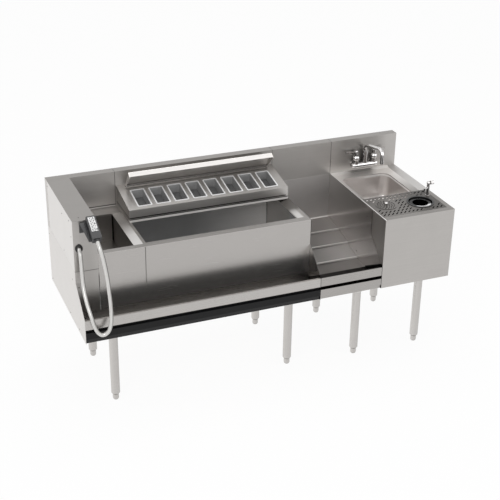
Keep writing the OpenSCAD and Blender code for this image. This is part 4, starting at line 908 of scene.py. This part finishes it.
    def apron_sheet(self) -> BrushedSheet:
        """The aprons: painted shade where they lean out to the rail, with a little less of a mirror
        there, and a seam at each left edge.
        """
        # Painted shade on the bend where the aprons lean out to the rail.
        slanted = Zone(even(150), z=self.apron_bend_z, fade_z=0.035, matte=0.12)
        well_seam = self.seam(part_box("well_apron")[0].x, grey=30, top=self.low_seam_top, matte=1.0)
        bin_seam = self.seam(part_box("bin_apron")[0].x, grey=112, top=WORK_Z - 0.004, matte=0.0)
        zones = (slanted, well_seam, bin_seam)
        return BrushedSheet(
            "apron_sheet", self.apron, roughness=0.27, zones=zones, grain=0.004, mottle=0.005, bump=0.0
        )

    def display(self) -> BrushedSheet:
        """The stepped display: painted highlights on its treads' front edges and its back corner, and
        painted shade on its left part.
        """
        low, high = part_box("step_display")
        wide = high.x - low.x
        # Painted highlights on the treads' front edges.
        edges = [
            Zone(even(208, 3.0), y=near(y, 0.003, 0.0036), z=near(z, 0.006, 0.01), matte=0.9)
            for y, z in self.tread_edges
        ]
        # Painted shade over the left part.
        part = below(low.x + 0.4 * wide)
        left = Zone(even(116), x=part, z=below(self.back_step), fade_x=0.5 * wide)
        # Painted highlight along the back corner.
        level = near(self.back_step, 0.004, 0.003)
        back = Zone(even(235, 3.0), y=above(self.back_step_y), z=level, matte=0.8)
        zones = (left, back, *edges, self.foot_shade)
        return BrushedSheet("step_sheet", self.steps, roughness=0.4, zones=zones)

    def display_rail(self) -> BrushedSheet:
        """The rail before the display: painted shade in its trough, and in the recess under its strip."""
        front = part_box("rail_step")[0].y
        # Painted shade in the trough and in the recess.
        trough = Zone(even(24), y=above(front + 0.002), z=above(self.trough_z))
        recess = Zone(even(14), z=self.recess_z, fade_z=0.0004)
        return BrushedSheet(
            "step_rail_sheet", self.step_rail, roughness=0.28, grain=0.014, mottle=0.006,
            zones=(trough, recess),
        )

    def build(self) -> None:
        """Dresses every sheet node, the rail's black panel and the foam."""
        shade = (self.foot_shade,)
        ends = BrushedSheet(
            "display_end_sheet", self.ends, roughness=0.2, zones=shade, grain=0.012, bump=0.002
        )
        rail = BrushedSheet("rail_sheet", self.rail, roughness=0.28, grain=0.014, mottle=0.006)
        frame_sheet = BrushedSheet("frame_sheet", self.under_frame, roughness=0.4, matte=0.6)
        black = Moulding("black_rail", screen(20, 20, 21), roughness=0.4, speckle=0.05, gloss=0.22)
        foam = Moulding("foam", screen(238, 230, 205), roughness=0.9, speckle=0.2)
        dress(self.box_sheet(), "gun_box_cover", "gun_box_lower_panel")
        dress(BrushedSheet("end_sheet", self.end, roughness=0.4), "left_end_panel")
        dress(self.apron_sheet(), "well_apron", "bin_apron")
        dress(self.splash_sheet(), "backsplash")
        dress(BrushedSheet("hidden_sheet", self.rear, roughness=0.4), "rear_panel")
        dress(frame_sheet, "base_frame")
        dress(self.well(), "well_liner")
        dress(self.bin(), "bin_liner")
        dress(self.display(), "step_display")
        dress(ends, "step_end_panels")
        dress(rail, "rail_main")
        dress(self.display_rail(), "rail_step")
        dress(BrushedSheet("cabinet_sheet", self.cabinet, roughness=0.36), "sink_cabinet")
        dress(BrushedSheet("leg_tube", self.leg, roughness=0.36), "legs", "levelling_feet")
        dress(black, "rail_lower_panel")
        dress(foam, "bin_insulation")
        dress(BrushedSheet("screw_steel", self.screw, roughness=0.3), "panel_screws")


@dataclass
class Rack:
    """The condiment rack with its lid and pans."""

    # Painted light and shade: each side's screen grey is set by how the light falls on that side.
    body: Tones = tones(180, 200, 165, 180)
    shaded_body_right: Tones = tones(158, 190, 165, 180)
    lid: Tones = tones(150, 238, 236, 190, 120, 200)
    # Painted highlights on the pans' rims, and painted light and shade inside them.
    pan: Tones = tones(236, 236, 236, 236, 236, 120, 0.0)
    pan_inside: Tones = tones(118, 188, 162, 176, 160, 104, 0.0)
    # Heights above the work deck.
    groove: Span = (0.0185, 0.0225)
    line: Span = (0.0116, 0.0146)
    lip: Span = (0.002, 0.0112)
    # Depths in from the rack's ends and front.
    groove_stop: float = 0.012
    lip_depth: float = 0.02
    rod_end: float = 0.007
    lid_lean_deg: float = 57.0
    pans: int = 8
    rim_run: float = 0.213
    rim_rise: float = 0.040
    rim_front: Span = (0.067, 0.818)  # its Y and Z
    rim_fold: float = 0.001

    def sheet(self) -> BrushedSheet:
        """The rack's sheet: painted shade on its right part, in a groove and along a line, and a painted
        highlight on the lip along its foot.
        """
        low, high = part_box("rack_body")
        groove, line, lip = ((WORK_Z + a, WORK_Z + b) for a, b in (self.groove, self.line, self.lip))
        zones = (
            # Painted shade on the right part, in the groove and along the line, and a painted highlight
            # on the lip.
            Zone(self.shaded_body_right, x=above(0.0), fade_x=0.3),
            Zone(even(66), x=below(high.x - self.groove_stop), z=groove, fade_x=0.004),
            Zone(even(84), z=line, fade_z=0.0006),
            Zone(even(226, 3.0), y=below(low.y + self.lip_depth), z=lip, matte=0.75),
        )
        return BrushedSheet("rack_sheet", self.body, roughness=0.34, zones=zones, grain=0.015)

    def rod(self) -> BrushedSheet:
        """The hinge rod: dull steel with dark ends."""
        low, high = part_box("lid_hinge_rod")
        spans = (below(low.x + self.rod_end), above(high.x - self.rod_end))
        ends = tuple(Zone(even(16), x=span, matte=0.5) for span in spans)
        return BrushedSheet("rod_steel", even(92), roughness=0.5, matte=0.9, zones=ends, grain=0.006)

    def pan_sheet(self) -> BrushedSheet:
        """The pans: painted highlights on the rims, and painted light and shade on the insides under the
        sloping plane of the rims.
        """
        slope = math.atan2(self.rim_rise, self.rim_run)
        normal = (0.0, -math.sin(slope), math.cos(slope))
        level = normal[1] * self.rim_front[0] + normal[2] * self.rim_front[1]
        return BrushedSheet(
            "pan_steel", self.pan, roughness=0.3, inner=self.pan_inside, inner_normal=normal,
            inner_level=level + self.rim_fold, inner_mirror=0.35, matte=0.8,
        )

    def build(self) -> None:
        """Dresses the rack, its rod, the lid and the pans."""
        lid = BrushedSheet("lid_sheet", self.lid, roughness=0.3, lean_deg=self.lid_lean_deg, bump=0.004)
        dress(self.sheet(), "rack_body")
        dress(lid, "rack_lid")
        dress(self.rod(), "lid_hinge_rod")
        dress(self.pan_sheet(), *(f"condiment_pan_{k + 1}" for k in range(self.pans)))


@dataclass
class SinkTop:
    """The sink's deck, bowl, drain tray, glass rinser, dipper well and their small parts."""

    # Painted light and shade: each side's screen grey is set by how the light falls on that side.
    deck: Tones = tones(140, 180, 190, 190)
    far_deck: Tones = tones(228, 195, 195, 190)
    bowl: Tones = tones(216, 238, 178, 238, 226, 90, 4.0, 2.5)
    tray: Tones = tones(118, 26, 26, 26, 26, 30)
    tray_right: Tones = tones(84, 26, 26, 26, 26, 30)
    # Painted shade under the drain tray.
    under_tray: Tones = even(22)
    tray_seat: float = 0.7455
    fold_z: float = 0.7525

    def deck_sheet(self) -> BrushedSheet:
        """The deck: painted shade under the tray, painted light at the back, and painted highlights along
        its left edge's fold and on its leaning band.
        """
        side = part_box("sink_deck")[0].x
        # Painted highlight on the fold along the left edge.
        edge = Zone(even(246), x=below(side + 0.003), z=above(self.fold_z), matte=0.7)
        # The deck's leaning band carries a painted highlight.
        return BrushedSheet(
            "deck_sheet", self.deck, roughness=0.46, slant_highlight=Zone(even(190)), inner=self.under_tray,
            inner_level=self.tray_seat, far=self.far_deck, far_span=(-0.08, 0.22), zones=(edge,),
        )

    def bowl_sheet(self) -> BrushedSheet:
        """The bowl: a painted highlight line under its rim, toward the right."""
        low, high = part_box("sink_bowl")
        # Painted highlight under the rim.
        rim = Zone(
            even(240), x=above(0.6 * high.x + 0.4 * low.x), z=(high.z - 0.012, high.z - 0.005),
            fade_x=0.08, fade_z=0.002, matte=0.6,
        )
        return BrushedSheet("bowl_sheet", self.bowl, roughness=0.36, zones=(rim,))

    def build(self) -> None:
        """Dresses every node of the sink module's top."""
        right = Zone(self.tray_right, x=above(0.80), fade_x=0.12)
        cup = Zone(even(16), z=below(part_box("rinser_base")[1].z - 0.0012))
        # Painted highlight on the front of the dipper bowl's lip.
        lip = Zone(even(248, 0.0), y=below(-0.226), fade_y=0.010, matte=0.5)
        dress(self.deck_sheet(), "sink_deck")
        dress(self.bowl_sheet(), "sink_bowl")
        dress(BrushedSheet("tray_sheet", self.tray, roughness=0.36, zones=(right,)), "drain_tray")
        dress(BrushedSheet("rinser_sheet", self.tray, roughness=0.3, zones=(cup,)), "rinser_base")
        dress(Moulding("dipper_black", screen(20, 20, 20), roughness=0.35, speckle=0.05), "dipper_well")
        dress(
            BrightMetal("sink_chrome"),
            "rinser_actuator", "dipper_tap", "dipper_knob", "sink_strainer", "drain_fittings",
        )
        # The dipper bowl is painted near black as shade inside the well, with the highlight on its lip.
        dress(BrushedSheet("dipper_steel", even(24, 0.0), roughness=0.2, zones=(lip,)), "dipper_bowl")


@dataclass
class Tap:
    """The two-handle tap on the backsplash."""

    def build(self) -> None:
        """Dresses the tap's body, spout and levers."""
        dress(BrightMetal("tap_chrome"), "faucet_body", "faucet_spout", "hot_handle", "cold_handle")


@dataclass
class SodaGun:
    """The soda gun on its holder, with numbered white buttons."""

    origin: Point = (-0.837, -0.2074, 0.953)
    tilt_deg: float = 26.5
    rows: int = 5
    buttons: int = 10
    column_pitch: float = 0.015
    row_pitch: float = 0.0156
    face_rise: float = 0.00245
    numeral_height: float = 0.0135
    numeral_squeeze: Span = (1.0, 0.9)
    numeral_thickness: float = 0.0001
    numeral_weight: float = 0.0005
    edge_radius: float = 0.0012
    sharp_deg: float = 40.0

    def numeral(self, index: int, ink: Material) -> None:
        """Sets a plain number on one button and lets it ride with the button.

        Args:
            index: The button, from 1 up, a column at a time.
            ink: The number's finish.
        """
        text = bpy.data.curves.new(f"numeral_{index}", "FONT")
        text.body = str(index)
        text.size = self.numeral_height
        text.align_x = "CENTER"
        text.align_y = "CENTER"
        text.extrude = self.numeral_thickness
        text.offset = self.numeral_weight
        holder = placed("numeral_text", text)
        shaped = holder.evaluated_get(bpy.context.evaluated_depsgraph_get())
        mesh = bpy.data.meshes.new_from_object(shaped)
        bpy.data.objects.remove(holder)
        column, row = divmod(index - 1, self.rows)
        tilt = math.radians(self.tilt_deg)
        place = np.array([(column - 0.5) * self.column_pitch, -(row + 1) * self.row_pitch])
        co = np.array([v.co for v in mesh.vertices])
        across, along = (co[:, :2] * self.numeral_squeeze + place).T
        out = co[:, 2] + self.face_rise
        world = np.column_stack([
            across,
            along * math.cos(tilt) - out * math.sin(tilt),
            along * math.sin(tilt) + out * math.cos(tilt),
        ]) + np.array(self.origin)
        mesh.vertices.foreach_set("co", world.ravel())
        mesh.materials.clear()
        mesh.materials.append(ink)
        mesh.update()
        piece = placed(f"numeral_{index}", mesh)
        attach(piece, f"button_{index}")

    def round_edges(self, names: Iterable[str]) -> None:
        """Welds and bevels the sharp edges of moulded nodes."""
        for name in names:
            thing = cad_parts[name]
            weld = thing.modifiers.new("weld", "WELD")
            weld.merge_threshold = 0.00001
            bevel = thing.modifiers.new("rounding", "BEVEL")
            bevel.width = self.edge_radius
            bevel.segments = 3
            bevel.limit_method = "ANGLE"
            bevel.angle_limit = math.radians(self.sharp_deg)
            bevel.harden_normals = True

    def build(self) -> None:
        """Dresses the gun, its holder, the gland and the buttons, and numbers the buttons."""
        black = Moulding("gun_black", screen(44, 44, 45), roughness=0.38, speckle=0.06, coat=0.2)
        white = Moulding("button_white", screen(240, 240, 240), roughness=0.35, speckle=0.02)
        ink = Moulding("numeral_ink", screen(40, 40, 42), roughness=0.5, speckle=0.05).material()
        dress(black, "gun_body", "gun_holder", "hose_grommet")
        dress(white, *(f"gun_button_{k + 1}" for k in range(self.buttons)))
        self.round_edges(["gun_body", "gun_holder"])
        for index in range(1, self.buttons + 1):
            self.numeral(index, ink)


def main() -> None:
    """Builds the camera and the hose first, then dresses each sub-assembly."""
    logging.basicConfig(level=logging.INFO, format="%(message)s")
    bpy.context.scene.view_settings.view_transform = "Standard"
    studio = Studio()
    studio.camera()
    rubber = Moulding("gland_rubber", screen(8, 8, 8), roughness=0.5, speckle=0.05)
    SodaHose().build(HoseSkin("hose_skin"), rubber)
    studio.build()
    for part in (PanelWork(), Rack(), SinkTop(), Tap(), SodaGun()):
        part.build()


if __name__ == "__main__":
    main()
